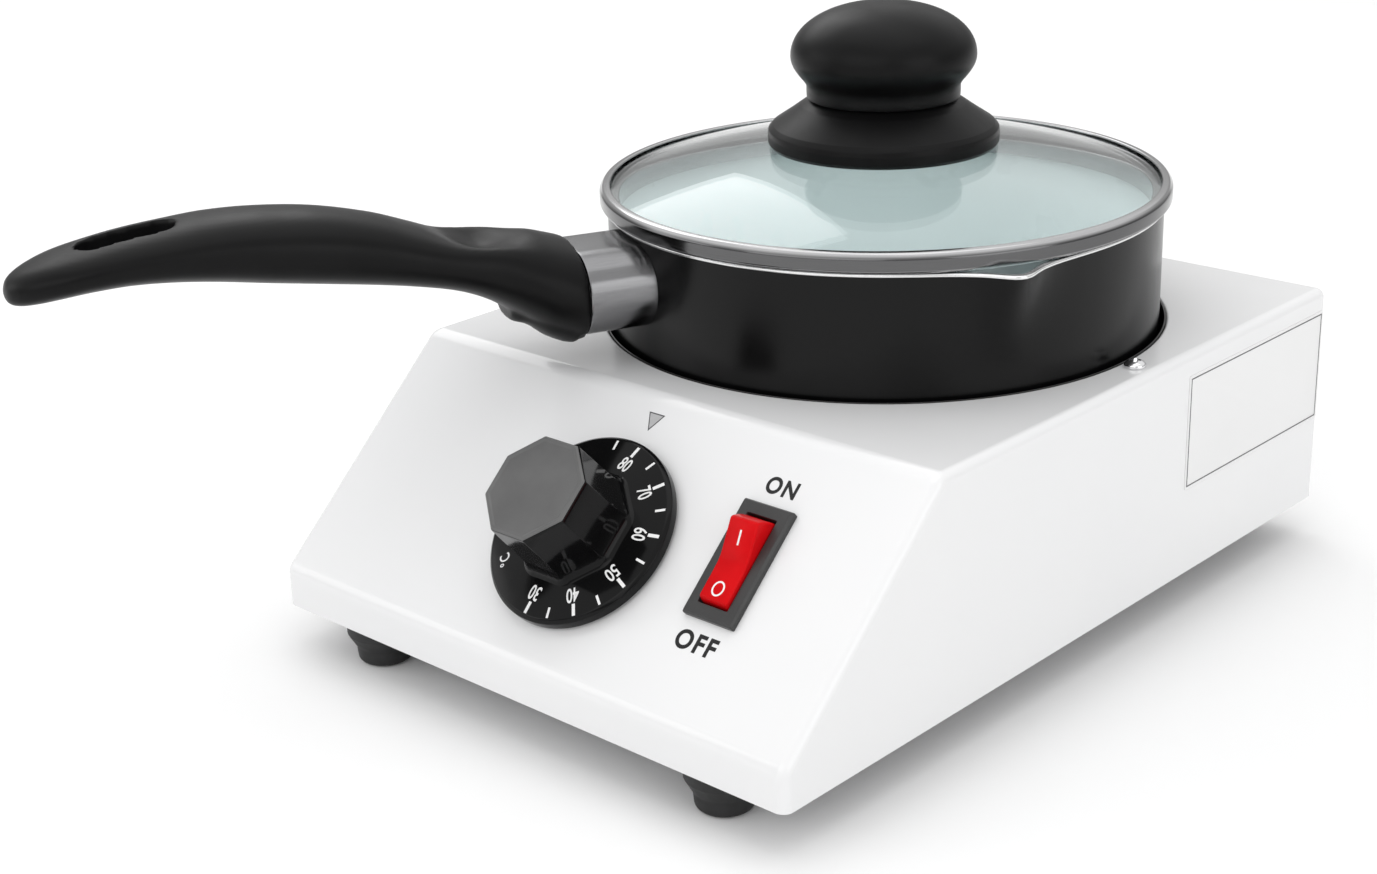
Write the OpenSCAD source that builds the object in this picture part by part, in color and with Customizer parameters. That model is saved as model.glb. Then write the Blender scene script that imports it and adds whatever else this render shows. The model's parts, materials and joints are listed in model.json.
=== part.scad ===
// Wax warmer pot: a folded sheet-metal base with a thermostat dial and a rocker
// switch, a heated well, a lift-out coated pan with a long handle, and a glass lid.
// +Z is up. The feet stand on z = 0.

/* [Base] */
// Width of the base, left to right
body_w = 170; // [168:1:180]
// Depth of the base, front to back
body_d = 230; // [228:1:240]
// Height of the top panel above the table
top_z = 72; // [70:0.5:74]
// Height of the rubber feet under the base
foot_h = 11; // [10:0.5:12]
// Height of the upright lip at the front
lip_h = 10.5; // [10:0.5:12]
// How far the sloping control panel runs back
slope_d = 55; // [54:0.5:58]
// Thickness of the sheet metal
sheet = 1.2; // [1:0.1:1.4]

/* [Well] */
// Radius of the hole in the top panel
hole_r = 75; // [74.5:0.1:75.2]
// Distance of the pan's centre behind the base's centre
pan_y = 27.5; // [26:0.5:28.5]
// Height of the well's floor above the table
well_floor_z = 52.8; // [52:0.2:54]

/* [Pan] */
// Outer radius of the pan's wall
pan_r = 73.2; // [72.6:0.1:73.4]
// Thickness of the pan's wall
pan_t = 1.6; // [1.2:0.1:2]
// Height of the pan, floor to rim
pan_h = 50.8; // [49:0.2:52]
// Radius of the curve between wall and floor
pan_corner = 15; // [12:1:18]
// Direction of the handle, seen from above, 0 is to the right
handle_az = -115; // [-120:1:-105]

/* [Lid] */
// Outer radius of the lid's metal band
ring_r = 75.2; // [74.8:0.1:75.6]
// Height of the glass at its middle above the pan's rim
dome_h = 15.5; // [14:0.5:17]
// Thickness of the glass
glass_t = 3.2; // [3:0.1:3.4]
// Largest radius of the knob
knob_r = 24.2; // [23:0.2:25]

/* [Controls] */
// Radius of the dial's skirt
dial_r = 25.2; // [24:0.2:26]
// Height of the dial above the panel
dial_h = 24.3; // [22:0.1:26]
// Sideways place of the dial
dial_x = 2; // [0:0.5:4]
// Place of the dial up the slope
dial_s = 34.8; // [33:0.2:36]
// Sideways place of the rocker switch
switch_x = 47.5; // [46:0.5:50]
// Place of the switch up the slope
switch_s = 40.4; // [39:0.2:42]
// Half the rocker's swing, in degrees
rocker_tilt = 11.7; // [9:0.1:12]

/* [Hidden] */
$fn = 64;

// The whole model is moved by this much, so that its footprint is centred on the origin
shift = [8.11, 25.69, 0];

z0 = foot_h;                          // lower edge of the sheet
hw = body_w / 2;
hd = body_d / 2;
zl = z0 + lip_h;                      // top of the front lip
slope_a = atan2(top_z - zl, slope_d); // angle of the control panel
well_r = hole_r + 0.6;                // inner radius of the well
well_t = 1.0;
pan_z0 = well_floor_z + 0.2;          // underside of the pan
pan_z1 = pan_z0 + pan_h;              // top of the pan's rim
rim_c = 0.9;                          // radius of the rounded rim
ring_z0 = pan_z1 + 0.2;               // underside of the lid's band
glass_top = pan_z1 + dome_h;          // top of the glass at its middle
glass_R = 242;                        // radius of the glass's outer sphere
screw_r = 79;                         // circle of the screws round the hole
foot_x = 58.7;
foot_y = 105;
foot_rt = 9.5;
base_sx = 74;
base_sy = 84;
gland_x = -52;
gland_z = 34;
hz = 90;                              // height of the handle's screw

module place() { translate(shift) children(); }
module pan_axis() { place() translate([0, pan_y, 0]) children(); }
module slope_at(x, s, h = 0) {
  place() translate([x, -hd, zl]) rotate([slope_a, 0, 0]) translate([0, s, h]) children();
}
// Handle frame: x runs out along the handle, z up
module handle_at() { pan_axis() rotate([0, 0, handle_az]) children(); }
module hex(r, h) { cylinder(r = r, h = h, $fn = 6); }
module feet_places() { for (sx = [-1, 1], sy = [-1, 1]) translate([sx * foot_x, sy * foot_y, 0]) children(); }
module base_screw_places() { for (sx = [-1, 1], sy = [-1, 1]) translate([sx * base_sx, sy * base_sy, 0]) children(); }
module well_screw_places() { for (a = [0, 90, 180]) rotate([0, 0, a]) translate([screw_r, 0, 0]) children(); }

// ---------- base ----------
function side_profile(t, drop) =
  let (c = cos(slope_a), s = sin(slope_a))
  [[-hd + t, z0 - drop],
   [-hd + t, zl - t * (1 - s) / c],
   [-hd + ((top_z - t - zl) * c + t) / s, top_z - t],
   [hd - t, top_z - t],
   [hd - t, z0 - drop]];
module prism_x(w, pts) { translate([-w / 2, 0, 0]) rotate([90, 0, 90]) linear_extrude(w) polygon(pts); }

module body_shell() color("white") {
  difference() {
    place() union() {
      difference() {
        prism_x(body_w, side_profile(0, 0));
        prism_x(body_w - 2 * sheet, side_profile(sheet, 5));
      }
      // four tabs for the base plate's screws
      for (sx = [-1, 1], sy = [-1, 1])
        translate([sx * (hw - sheet - 8.9), sy * base_sy, 13]) cube([18, 14, 1.2], center = true);
    }
    pan_axis() cylinder(r = hole_r, h = 200, $fn = 128);
    pan_axis() well_screw_places() translate([0, 0, top_z - 10]) cylinder(r = 1.7, h = 20);
    place() base_screw_places() cylinder(r = 1.6, h = 20);
    slope_at(dial_x, dial_s, -5) cylinder(r = 5.3, h = 10);
    for (sx = [-1, 1]) slope_at(dial_x + sx * 14, dial_s, -5) cylinder(r = 1.7, h = 10);
    slope_at(switch_x, switch_s) cube([12.5, 27.7, 10], center = true);
    place() translate([gland_x, hd + 5, gland_z]) rotate([90, 0, 0]) cylinder(r = 6.3, h = 10);
    // cooling slots in the back panel
    for (i = [0 : 8]) place() translate([4 + i * 8, hd, 40]) cube([3, 10, 18], center = true);
  }
}

module base_plate() color("silver") {
  difference() {
    place() translate([0, 0, z0 + 0.6]) cube([body_w - 2 * sheet - 0.6, body_d - 2 * sheet - 0.6, 1.2], center = true);
    place() feet_places() cylinder(r = 2.2, h = 30);
    place() base_screw_places() cylinder(r = 1.7, h = 30);
    for (i = [-3 : 3], j = [-1, 1]) place() translate([i * 14, 20 + j * 24, z0]) cube([4, 34, 10], center = true);
  }
}

module feet() color([0.06, 0.06, 0.06]) {
  place() feet_places() difference() {
    rotate_extrude() union() {
      polygon([[0, 0], [5.2, 0], [7, 1.8], [7, 4.6], [foot_rt, foot_h - 2.4], [foot_rt, foot_h], [0, foot_h]]);
      translate([5.2, 1.8]) circle(r = 1.8);
    }
    translate([0, 0, -1]) cylinder(r = 4, h = 6.4);
    cylinder(r = 2.2, h = 30);
  }
}

module foot_screws() color("silver") {
  place() feet_places() union() {
    difference() {
      translate([0, 0, 3.2]) cylinder(r = 3.7, h = 2.2);
      translate([0, 0, 3]) { cube([4, 1, 2], center = true); cube([1, 4, 2], center = true); }
    }
    translate([0, 0, 5]) cylinder(r = 2, h = 11);
  }
}

module foot_nuts() color("silver") {
  place() feet_places() translate([0, 0, z0 + 1.3]) difference() { hex(4, 3.2); translate([0, 0, -1]) cylinder(r = 2.05, h = 6); }
}

module base_screws() color("silver") {
  place() base_screw_places() union() {
    difference() {
      translate([0, 0, z0 - 1.9]) cylinder(r = 2.8, h = 1.8);
      translate([0, 0, z0 - 2]) { cube([3.4, 0.8, 1.6], center = true); cube([0.8, 3.4, 1.6], center = true); }
    }
    translate([0, 0, z0 - 0.2]) cylinder(r = 1.5, h = 7);
  }
}

// ---------- heated well ----------
module heater_well() color([0.1, 0.1, 0.1]) {
  zf = well_floor_z;
  pan_axis() difference() {
    union() {
      rotate_extrude($fn = 128) polygon([
        [0, zf], [well_r - 8, zf], [well_r, zf + 8], [well_r, top_z - sheet - 0.05],
        [well_r + 7.9, top_z - sheet - 0.05], [well_r + 7.9, top_z - sheet - 1.05],
        [well_r + well_t, top_z - sheet - 1.05], [well_r + well_t, zf + 7.6],
        [well_r - 7.6, zf - 1.2], [0, zf - 1.2]]);
      translate([0, 0, zf - 17]) cylinder(r = 2, h = 17);
    }
    well_screw_places() translate([0, 0, 60]) cylinder(r = 1.7, h = 20);
  }
}

module well_screws() color("silver") {
  pan_axis() well_screw_places() union() {
    difference() {
      translate([0, 0, top_z + 0.05]) intersection() {
        cylinder(r = 2.75, h = 1.9);
        translate([0, 0, -2.2]) sphere(r = 4.1, $fn = 64);
      }
      translate([0, 0, top_z + 1.8]) { cube([3.4, 0.8, 1.8], center = true); cube([0.8, 3.4, 1.8], center = true); }
    }
    translate([0, 0, top_z - 7]) cylinder(r = 1.5, h = 7.2);
  }
}

module well_nuts() color("silver") {
  pan_axis() well_screw_places() translate([0, 0, top_z - sheet - 3.6]) difference() {
    rotate([0, 0, 30]) hex(2.6, 2.4);
    translate([0, 0, -1]) cylinder(r = 1.55, h = 5);
  }
}

module heating_element() color([0.75, 0.7, 0.55]) {
  pan_axis() translate([0, 0, well_floor_z - 4.4]) difference() {
    cylinder(r = 62, h = 3);
    translate([0, 0, -1]) cylinder(r = 2.3, h = 5);
  }
}

module insulation_pad() color([0.92, 0.92, 0.88]) {
  pan_axis() translate([0, 0, well_floor_z - 10.8]) difference() {
    cylinder(r = 64, h = 6.2);
    translate([0, 0, -1]) cylinder(r = 2.3, h = 10);
  }
}

module clamp_plate() color([0.6, 0.6, 0.62]) {
  pan_axis() translate([0, 0, well_floor_z - 12.2]) difference() {
    cylinder(r = 50, h = 1.2);
    translate([0, 0, -1]) cylinder(r = 2.3, h = 4);
  }
}

module clamp_nut() color("silver") {
  pan_axis() translate([0, 0, well_floor_z - 15.6]) difference() {
    hex(4, 3.2);
    translate([0, 0, -1]) cylinder(r = 2.05, h = 6);
  }
}

module thermal_fuse() color([0.85, 0.85, 0.8]) {
  pan_axis() translate([-24, 8, well_floor_z - 16.5]) rotate([0, 90, 0]) union() {
    cylinder(r = 3.4, h = 22, center = true);
    translate([-2.2, 0, 0]) cube([3.6, 6, 12], center = true);
  }
}

// ---------- thermostat ----------
bulb_x = -80;
bulb_z = 60;
module sensor_bulb() color([0.72, 0.45, 0.3]) {
  place() translate([bulb_x, pan_y + 26, bulb_z]) rotate([90, 0, 0]) cylinder(r = 2.5, h = 52);
}

module bulb_clip() color("silver") {
  place() translate([bulb_x, pan_y, bulb_z]) rotate([90, 0, 0]) {
    difference() {
      cylinder(r = 3.1, h = 10, center = true);
      cylinder(r = 2.55, h = 12, center = true);
      translate([0, 4.2, 0]) cube([4, 6, 12], center = true);
    }
  }
}

// A round tube along a list of points; up is any direction no piece runs along
function unit(v) = v / norm(v);
function tube_dir(p, i) = unit(p[min(i + 1, len(p) - 1)] - p[max(i - 1, 0)]);
function tube_pts(p, r, n, up) = [for (i = [0 : len(p) - 1]) let (t = tube_dir(p, i), u = unit(cross(up, t)), v = cross(t, u))
  for (k = [0 : n - 1]) p[i] + r * (cos(360 * k / n) * u + sin(360 * k / n) * v)];
function tube_faces(m, n) = concat(
  [[for (k = [0 : n - 1]) k]],
  [for (i = [0 : m - 2], k = [0 : n - 1]) [i * n + (k + 1) % n, i * n + k, (i + 1) * n + k, (i + 1) * n + (k + 1) % n]],
  [[for (k = [n - 1 : -1 : 0]) (m - 1) * n + k]]);
module tube(p, r, n = 8, up = [0.2, 0.1, 1]) { polyhedron(points = tube_pts(p, r, n, up), faces = tube_faces(len(p), n), convexity = 6); }
// A route with its corners rounded: each inner point becomes a short curve
function bend(p, f = 0.35) = concat([p[0]],
  [for (i = [1 : len(p) - 2], t = [0, 0.33, 0.67, 1])
    let (a = p[i] + (p[i - 1] - p[i]) * f, b = p[i] + (p[i + 1] - p[i]) * f)
    (1 - t) * (1 - t) * a + 2 * t * (1 - t) * p[i] + t * t * b],
  [p[len(p) - 1]]);

module capillary() color([0.72, 0.45, 0.3]) {
  place() tube(bend([[-80, 1.2, 60], [-80, -18, 60], [-78, -40, 48], [-60, -52, 32], [-34, -66, 32], [-24, -78, 32], [-15.1, -78, 32]]), 0.8, 6, [0.3, 0.2, 1]);
}

tb_w = 34; tb_l = 30; tb_h = 20;
module thermostat_body() color([0.85, 0.8, 0.65]) {
  difference() {
    union() {
      slope_at(dial_x, dial_s, -sheet - 0.65) cube([38, 30, 1.2], center = true);
      slope_at(dial_x, dial_s, -sheet - 1.2 - tb_h / 2) cube([tb_w, tb_l, tb_h], center = true);
      slope_at(dial_x, dial_s, -sheet - 1) cylinder(r = 5, h = 2.6);
      // spade terminals
      for (sx = [-1, 1]) slope_at(dial_x + sx * 9, dial_s - 4, -sheet - tb_h - 5) cube([0.8, 6, 9], center = true);
    }
    slope_at(dial_x, dial_s, -14) cylinder(r = 3.05, h = 30);
    for (sx = [-1, 1]) slope_at(dial_x + sx * 14, dial_s, -7) cylinder(r = 1.55, h = 10);
  }
}

module thermostat_screws() color("silver") {
  for (sx = [-1, 1]) slope_at(dial_x + sx * 14, dial_s) union() {
    translate([0, 0, 0.02]) cylinder(r1 = 2.9, r2 = 2.4, h = 0.6);
    translate([0, 0, -6]) cylinder(r = 1.5, h = 6.2);
  }
}

module thermostat_shaft() color("silver") {
  slope_at(dial_x, dial_s, -13.6) cylinder(r = 3, h = 33);
}

module dial_insert() color([0.8, 0.65, 0.3]) {
  slope_at(dial_x, dial_s, 6) difference() {
    cylinder(r = 5, h = 13);
    translate([0, 0, -1]) cylinder(r = 3.02, h = 15);
  }
}

module dial_knob() color([0.05, 0.05, 0.05]) {
  slope_at(dial_x, dial_s) difference() {
    union() {
      rotate_extrude($fn = 96) polygon([[0, 0.9], [dial_r - 0.4, 0.9], [dial_r, 1.3], [dial_r, 3.4], [dial_r - 0.9, 4.3], [13, 5.4], [0, 5.4]]);
      rotate([0, 0, 22.5]) translate([0, 0, 5]) cylinder(r = 14, h = dial_h - 5.8, $fn = 8);
      rotate([0, 0, 22.5]) translate([0, 0, dial_h - 0.8]) linear_extrude(0.8) circle(r = 13.4, $fn = 8);
    }
    translate([0, 0, 0]) cylinder(r = 18, h = 2.4);
    translate([0, 0, 2]) cylinder(r = 5.02, h = 17.3);
    translate([0, 0, 15]) cylinder(r = 3.02, h = 5.4);
  }
}

// ---------- rocker switch ----------
piv_h = -1;
module switch_housing() color([0.08, 0.08, 0.08]) {
  slope_at(switch_x, switch_s) difference() {
    union() {
      translate([0, 0, 1.05]) cube([15, 30.5, 2], center = true);
      translate([0, 0, -10.5]) cube([12.2, 27.4, 22], center = true);
    }
    translate([0, 0, 0]) cube([8.9, 23.8, 18.6], center = true);
    translate([0, 0, piv_h]) rotate([0, 90, 0]) cylinder(r = 1.22, h = 11.4, center = true, $fn = 32);
  }
}

module switch_pivot() color("silver") {
  slope_at(switch_x, switch_s, piv_h) rotate([0, 90, 0]) cylinder(r = 1.2, h = 11.2, center = true, $fn = 32);
}

module switch_rocker() color([0.75, 0.05, 0.05]) {
  t = tan(rocker_tilt);
  slope_at(switch_x, switch_s, piv_h) rotate([rocker_tilt, 0, 0]) difference() {
    intersection() {
      rotate([0, 90, 0]) cylinder(r = 11.6, h = 8.5, center = true, $fn = 96);
      translate([-4.25, 0, 0]) rotate([90, 0, 90]) linear_extrude(8.5)
        polygon([[0, 4.2], [13, 4.2 + 13 * t], [13, -2], [5, -6], [-5, -6], [-13, -2], [-13, 4.2 + 13 * t]]);
    }
    rotate([0, 90, 0]) cylinder(r = 1.26, h = 20, center = true, $fn = 32);
  }
}

module switch_terminals() color([0.85, 0.8, 0.6]) {
  for (i = [-1 : 1]) slope_at(switch_x, switch_s + i * 8.5, -25.6) cube([5, 0.8, 8], center = true);
}

// ---------- mains inlet ----------
module cable_gland() color([0.07, 0.07, 0.07]) {
  place() translate([gland_x, hd, gland_z]) rotate([-90, 0, 0]) difference() {
    union() {
      translate([0, 0, -11.2]) cylinder(r = 6.1, h = 12);
      translate([0, 0, 0.05]) cylinder(r = 9, h = 2.95);
      translate([0, 0, 2.8]) cylinder(r1 = 7.6, r2 = 6.2, h = 9.2);
    }
    translate([0, 0, -20]) cylinder(r = 3.6, h = 40);
  }
}

module gland_nut() color([0.12, 0.12, 0.12]) {
  place() translate([gland_x, hd - sheet - 0.05, gland_z]) rotate([90, 0, 0]) difference() {
    hex(9, 4);
    translate([0, 0, -1]) cylinder(r = 6.15, h = 6);
  }
}

tbx = -20; tby = 98;
module terminal_block() color([0.9, 0.9, 0.88]) {
  place() translate([tbx, tby, z0 + 1.4]) difference() {
    translate([-18, -8, 0]) cube([36, 16, 14]);
    for (i = [-1 : 1]) translate([i * 11, 0, 6]) rotate([90, 0, 0]) cylinder(r = 2.2, h = 40, center = true, $fn = 32);
    for (i = [-1 : 1], j = [-1, 1]) translate([i * 11, j * 4.5, 6]) cylinder(r = 1.8, h = 20, $fn = 32);
  }
}

module terminal_screws() color("silver") {
  place() for (i = [-1 : 1], j = [-1, 1]) translate([tbx + i * 11, tby + j * 4.5, z0 + 1.4 + 8.4]) cylinder(r = 1.7, h = 4, $fn = 32);
}

module earth_stud() color([0.8, 0.65, 0.3]) {
  place() translate([40, 96, z0 + 1.25]) union() {
    cylinder(r = 2, h = 12);
    translate([0, 0, 1]) hex(3.6, 2.6);
    translate([0, 0, 0]) cylinder(r = 4.4, h = 1);
  }
}

module wiring() color([0.2, 0.25, 0.5]) {
  // terminal block to switch, switch to thermostat, thermostat to element, block to element
  place() {
    tube(bend([[-20, 89.6, 18.4], [-20, 78, 20], [10, 66, 28], [66, 40, 22], [74, -20, 20], [58, -58, 22], [50, -70.5, 22.5]]), 1.3, 8, [0.1, 0.15, 1]);
    tube(bend([[-9, 89.6, 18.4], [-9, 80, 19], [8, 66, 22], [30, 40, 24], [40, 24, 28], [41, 12, 39.6]]), 1.3, 8, [0.1, 0.15, 1]);
  }
}

// ---------- blank side label ----------
module side_label() color([0.94, 0.94, 0.94]) {
  place() translate([hw + 0.12, 78.5, 50.5]) cube([0.2, 69, 31], center = true);
}

// ---------- pan ----------
module pan_outline(r, zb, corner) {
  // half section from the axis to r, floor at zb, with a rounded corner, up past the rim
  union() {
    translate([0, zb]) square([r - corner, pan_h + 20]);
    translate([0, zb + corner]) square([r, pan_h + 20 - corner]);
    intersection() {
      translate([r - corner, zb + corner]) circle(r = corner, $fn = 64);
      translate([0, zb]) square([r, corner + 1]);
    }
  }
}

spout_az = handle_az + 87;
module spout_body(r, up) {
  rotate([0, 0, spout_az]) translate([63, 0, pan_z1]) rotate([0, 35, 0]) translate([0, 0, -30]) cylinder(r = r, h = 30 + up, $fn = 64);
}
module pot_shell() color([0.05, 0.05, 0.05]) {
  pan_axis() difference() {
    union() {
      rotate_extrude($fn = 128) intersection() {
        pan_outline(pan_r, pan_z0, pan_corner);
        square([200, pan_z1 - rim_c]);
      }
      // rounded rim
      rotate_extrude($fn = 128) translate([pan_r - 0.3, pan_z1 - rim_c]) circle(r = rim_c, $fn = 32);
      // pouring lip
      intersection() {
        spout_body(16, 30);
        translate([0, 0, pan_z1 - 24]) cylinder(r = 120, h = 23.4);
      }
    }
    rotate_extrude($fn = 128) pan_outline(pan_r - pan_t, pan_z0 + 2.4, pan_corner - 1.6);
    intersection() {
      spout_body(14.6, 40);
      translate([0, 0, pan_z1 - 22]) cylinder(r = 120, h = 60);
    }
  }
}

// ---------- handle ----------
module oval(w, h, rt, rb) {
  // flat-topped oval, corner radius rt above and rb below
  union() {
    translate([-w / 2 + rb, -h / 2]) square([w - 2 * rb, rb + 1]);
    translate([-w / 2, -h / 2 + rb]) square([w, h - rb - rt]);
    translate([-w / 2 + rt, h / 2 - rt - 1]) square([w - 2 * rt, rt + 1]);
    for (s = [-1, 1]) {
      translate([s * (w / 2 - rb), -h / 2 + rb]) circle(r = rb);
      translate([s * (w / 2 - rt), h / 2 - rt]) circle(r = rt);
    }
  }
}
module along_x(x0, x1, z) { translate([x0, 0, z]) rotate([90, 0, 90]) linear_extrude(x1 - x0) children(); }

module handle_bracket() color("silver") {
  difference() {
    handle_at() union() {
      translate([74, 0, hz]) cube([4.4, 22, 16], center = true);
      translate([74, 0, hz]) rotate([0, 90, 0]) cylinder(r = 5, h = 8.4);
    }
    pan_axis() cylinder(r = pan_r + 0.1, h = 200, $fn = 128);
    handle_at() translate([70, 0, hz]) rotate([0, 90, 0]) cylinder(r = 2.55, h = 20);
  }
}

module handle_ferrule() color("silver") {
  difference() {
    handle_at() along_x(62, 89, hz) oval(34, 25.6, 7, 11);
    handle_at() along_x(60, 90, hz) oval(31.6, 23.2, 5.8, 9.8);
    pan_axis() cylinder(r = pan_r + 0.15, h = 200, $fn = 128);
    pan_axis() translate([0, 0, pan_z1 - 2.4]) cylinder(r = pan_r + 0.85, h = 20, $fn = 128);
  }
}

// Stations along the handle: distance from the pan's axis, height, half width, half thickness
GRIP = [[89.2, 90.2, 17.4, 12.5], [91, 91, 18, 12.9], [94, 92.4, 18.1, 12.9], [98, 94, 17.8, 12.6],
  [102, 96, 17.1, 11.2], [107, 98.2, 16.1, 9.5], [113, 100.4, 15.1, 7.8], [120, 102.6, 14.5, 7],
  [128, 105, 14.1, 7.4], [138, 107.8, 14, 8.3], [152, 110.7, 14.2, 8.9], [166, 112.7, 14.4, 8.6],
  [178, 113.9, 14.2, 7.7], [188, 114.2, 14, 6.6], [198, 114, 13.6, 5.7], [207, 113.1, 13, 5.1],
  [214, 112, 11.8, 4.8], [219, 110.9, 9.8, 4.4], [223, 109.9, 7, 3.7], [225.4, 109.3, 3.8, 2.5], [226.2, 109.1, 1.2, 0.8]];
grip_n = 28;
function sgnpow(v, e) = sign(v) * pow(abs(v), e);
function grip_ring(s) = [for (k = [0 : grip_n - 1]) let (a = 360 * k / grip_n)
  [s[0], s[2] * sgnpow(cos(a), 0.86), s[1] + s[3] * sgnpow(sin(a), 0.86)]];
module grip_loft() {
  polyhedron(points = [for (s = GRIP) each grip_ring(s)], faces = tube_faces(len(GRIP), grip_n), convexity = 6);
}
module handle_grip() color([0.05, 0.05, 0.05]) {
  handle_at() difference() {
    union() {
      grip_loft();
      along_x(83.5, 90, hz) oval(31.2, 22.8, 5.6, 9.6);
    }
    // hanging slot
    for (x = [190.5, 204]) translate([x, 0, 90]) cylinder(r = 5, h = 40);
    translate([190.5, -5, 90]) cube([13.5, 10, 40]);
    // screw passage and the notch for its head
    translate([80, 0, hz]) rotate([0, 90, 0]) cylinder(r = 2.7, h = 30);
    translate([103, 0, hz]) rotate([0, 90, 0]) cylinder(r = 4.8, h = 30);
  }
}

module handle_screw() color("silver") {
  handle_at() translate([0, 0, hz]) rotate([0, 90, 0]) difference() {
    union() {
      translate([0, 0, 75.4]) cylinder(r = 2.5, h = 28);
      translate([0, 0, 103.1]) cylinder(r = 4.2, h = 2.6);
    }
    translate([0, 0, 105.4]) { cube([5, 1, 2.4], center = true); cube([1, 5, 2.4], center = true); }
  }
}

// ---------- lid ----------
gz = glass_top - glass_R;
function arc_z(R, r) = gz + sqrt(R * R - r * r);
module lid_glass() color([0.8, 0.9, 0.88, 0.4]) {
  pan_axis() difference() {
    intersection() {
      translate([0, 0, gz]) sphere(r = glass_R, $fn = 128);
      translate([0, 0, ring_z0 - 5]) cylinder(r = 73.4, h = 60, $fn = 128);
    }
    translate([0, 0, gz]) sphere(r = glass_R - glass_t, $fn = 128);
    cylinder(r = 3.2, h = 300);
  }
}

ring_top = arc_z(glass_R, 72.6) + 1.1;
module lid_ring() color("silver") {
  pan_axis() difference() {
    rotate_extrude($fn = 128) union() {
      polygon([[69.4, ring_z0 - 4.4], [70, ring_z0 - 4.4], [70, ring_z0], [ring_r - 0.8, ring_z0], [ring_r, ring_z0 + 0.8],
        [ring_r, ring_top - 1.2], [ring_r - 1.2, ring_top], [72.4, ring_top],
        [72.4, ring_top - 0.7], [73.9, ring_top - 0.9], [73.9, ring_z0 + 0.4], [69.4, ring_z0 + 0.4]]);
    }
  }
}

kb_z = 119;
module knob_base() color([0.07, 0.07, 0.07]) {
  pan_axis() difference() {
    rotate_extrude($fn = 96) polygon([[0, 116.5], [29.8, 116.5], [30.3, 119], [30.4, 120.6], [29.9, 122.3], [28.6, 123.9],
      [24.5, 127], [20.4, 129.4], [18.8, 129.9], [0, 129.9]]);
    translate([0, 0, gz]) sphere(r = glass_R + 0.15, $fn = 128);
    cylinder(r = 2.8, h = 300);
  }
}

function knob_pts() = concat([[0, 130], [19.6, 130], [20, 130.4], [20, 132.6]],
  [for (i = [0 : 4]) let (t = i / 5) [20 + (knob_r - 20) * sin(90 * t), 132.6 + 8.4 * t]],
  [for (i = [0 : 11]) let (a = 90 * i / 12) [knob_r * pow(cos(a), 0.94), 141 + 13.6 * pow(sin(a), 0.96)]],
  [[0, 154.6]]);
module lid_knob() color([0.07, 0.07, 0.07]) {
  pan_axis() difference() {
    rotate_extrude($fn = 96) polygon(knob_pts());
    translate([0, 0, 120]) cylinder(r = 2.55, h = 24);
  }
}

module knob_washer() color([0.15, 0.15, 0.15]) {
  pan_axis() difference() {
    translate([0, 0, glass_top - glass_t - 1.5]) cylinder(r = 10, h = 1.2);
    cylinder(r = 2.8, h = 300);
  }
}

module knob_screw() color("silver") {
  pan_axis() difference() {
    union() {
      translate([0, 0, glass_top - glass_t - 4.2]) cylinder(r = 4.6, h = 2.7);
      translate([0, 0, glass_top - glass_t - 2]) cylinder(r = 2.5, h = 26);
    }
    translate([0, 0, glass_top - glass_t - 4.4]) { cube([5.4, 1, 2.2], center = true); cube([1, 5.4, 2.2], center = true); }
  }
}

body_shell();
base_plate();
feet();
foot_screws();
foot_nuts();
base_screws();
heater_well();
well_screws();
well_nuts();
heating_element();
insulation_pad();
clamp_plate();
clamp_nut();
thermal_fuse();
sensor_bulb();
bulb_clip();
capillary();
thermostat_body();
thermostat_screws();
thermostat_shaft();
dial_insert();
dial_knob();
switch_housing();
switch_pivot();
switch_rocker();
switch_terminals();
cable_gland();
gland_nut();
terminal_block();
terminal_screws();
earth_stud();
wiring();
side_label();
pot_shell();
handle_bracket();
handle_ferrule();
handle_grip();
handle_screw();
lid_glass();
lid_ring();
knob_base();
lid_knob();
knob_washer();
knob_screw();
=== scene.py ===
import json
import math
import bpy
import bmesh
from mathutils import Matrix, Vector, noise


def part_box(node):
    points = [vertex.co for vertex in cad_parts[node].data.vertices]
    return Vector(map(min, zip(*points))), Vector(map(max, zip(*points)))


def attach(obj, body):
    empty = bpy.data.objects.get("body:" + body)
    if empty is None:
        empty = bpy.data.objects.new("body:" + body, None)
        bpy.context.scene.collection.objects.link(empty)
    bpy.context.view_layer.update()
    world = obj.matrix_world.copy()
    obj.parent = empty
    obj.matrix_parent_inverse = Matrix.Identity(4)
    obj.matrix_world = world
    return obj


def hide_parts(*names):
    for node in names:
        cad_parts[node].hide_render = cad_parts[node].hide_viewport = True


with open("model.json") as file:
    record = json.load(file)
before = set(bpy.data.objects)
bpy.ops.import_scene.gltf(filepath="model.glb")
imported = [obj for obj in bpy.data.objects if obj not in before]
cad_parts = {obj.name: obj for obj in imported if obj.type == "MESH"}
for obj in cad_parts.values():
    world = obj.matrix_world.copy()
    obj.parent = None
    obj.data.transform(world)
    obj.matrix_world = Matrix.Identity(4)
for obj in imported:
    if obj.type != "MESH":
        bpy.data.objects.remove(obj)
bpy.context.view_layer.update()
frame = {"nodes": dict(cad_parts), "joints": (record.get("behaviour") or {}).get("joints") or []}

MM = 0.001
scene = bpy.context.scene
coll = scene.collection
sin, cos, rad = math.sin, math.cos, math.radians

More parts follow.
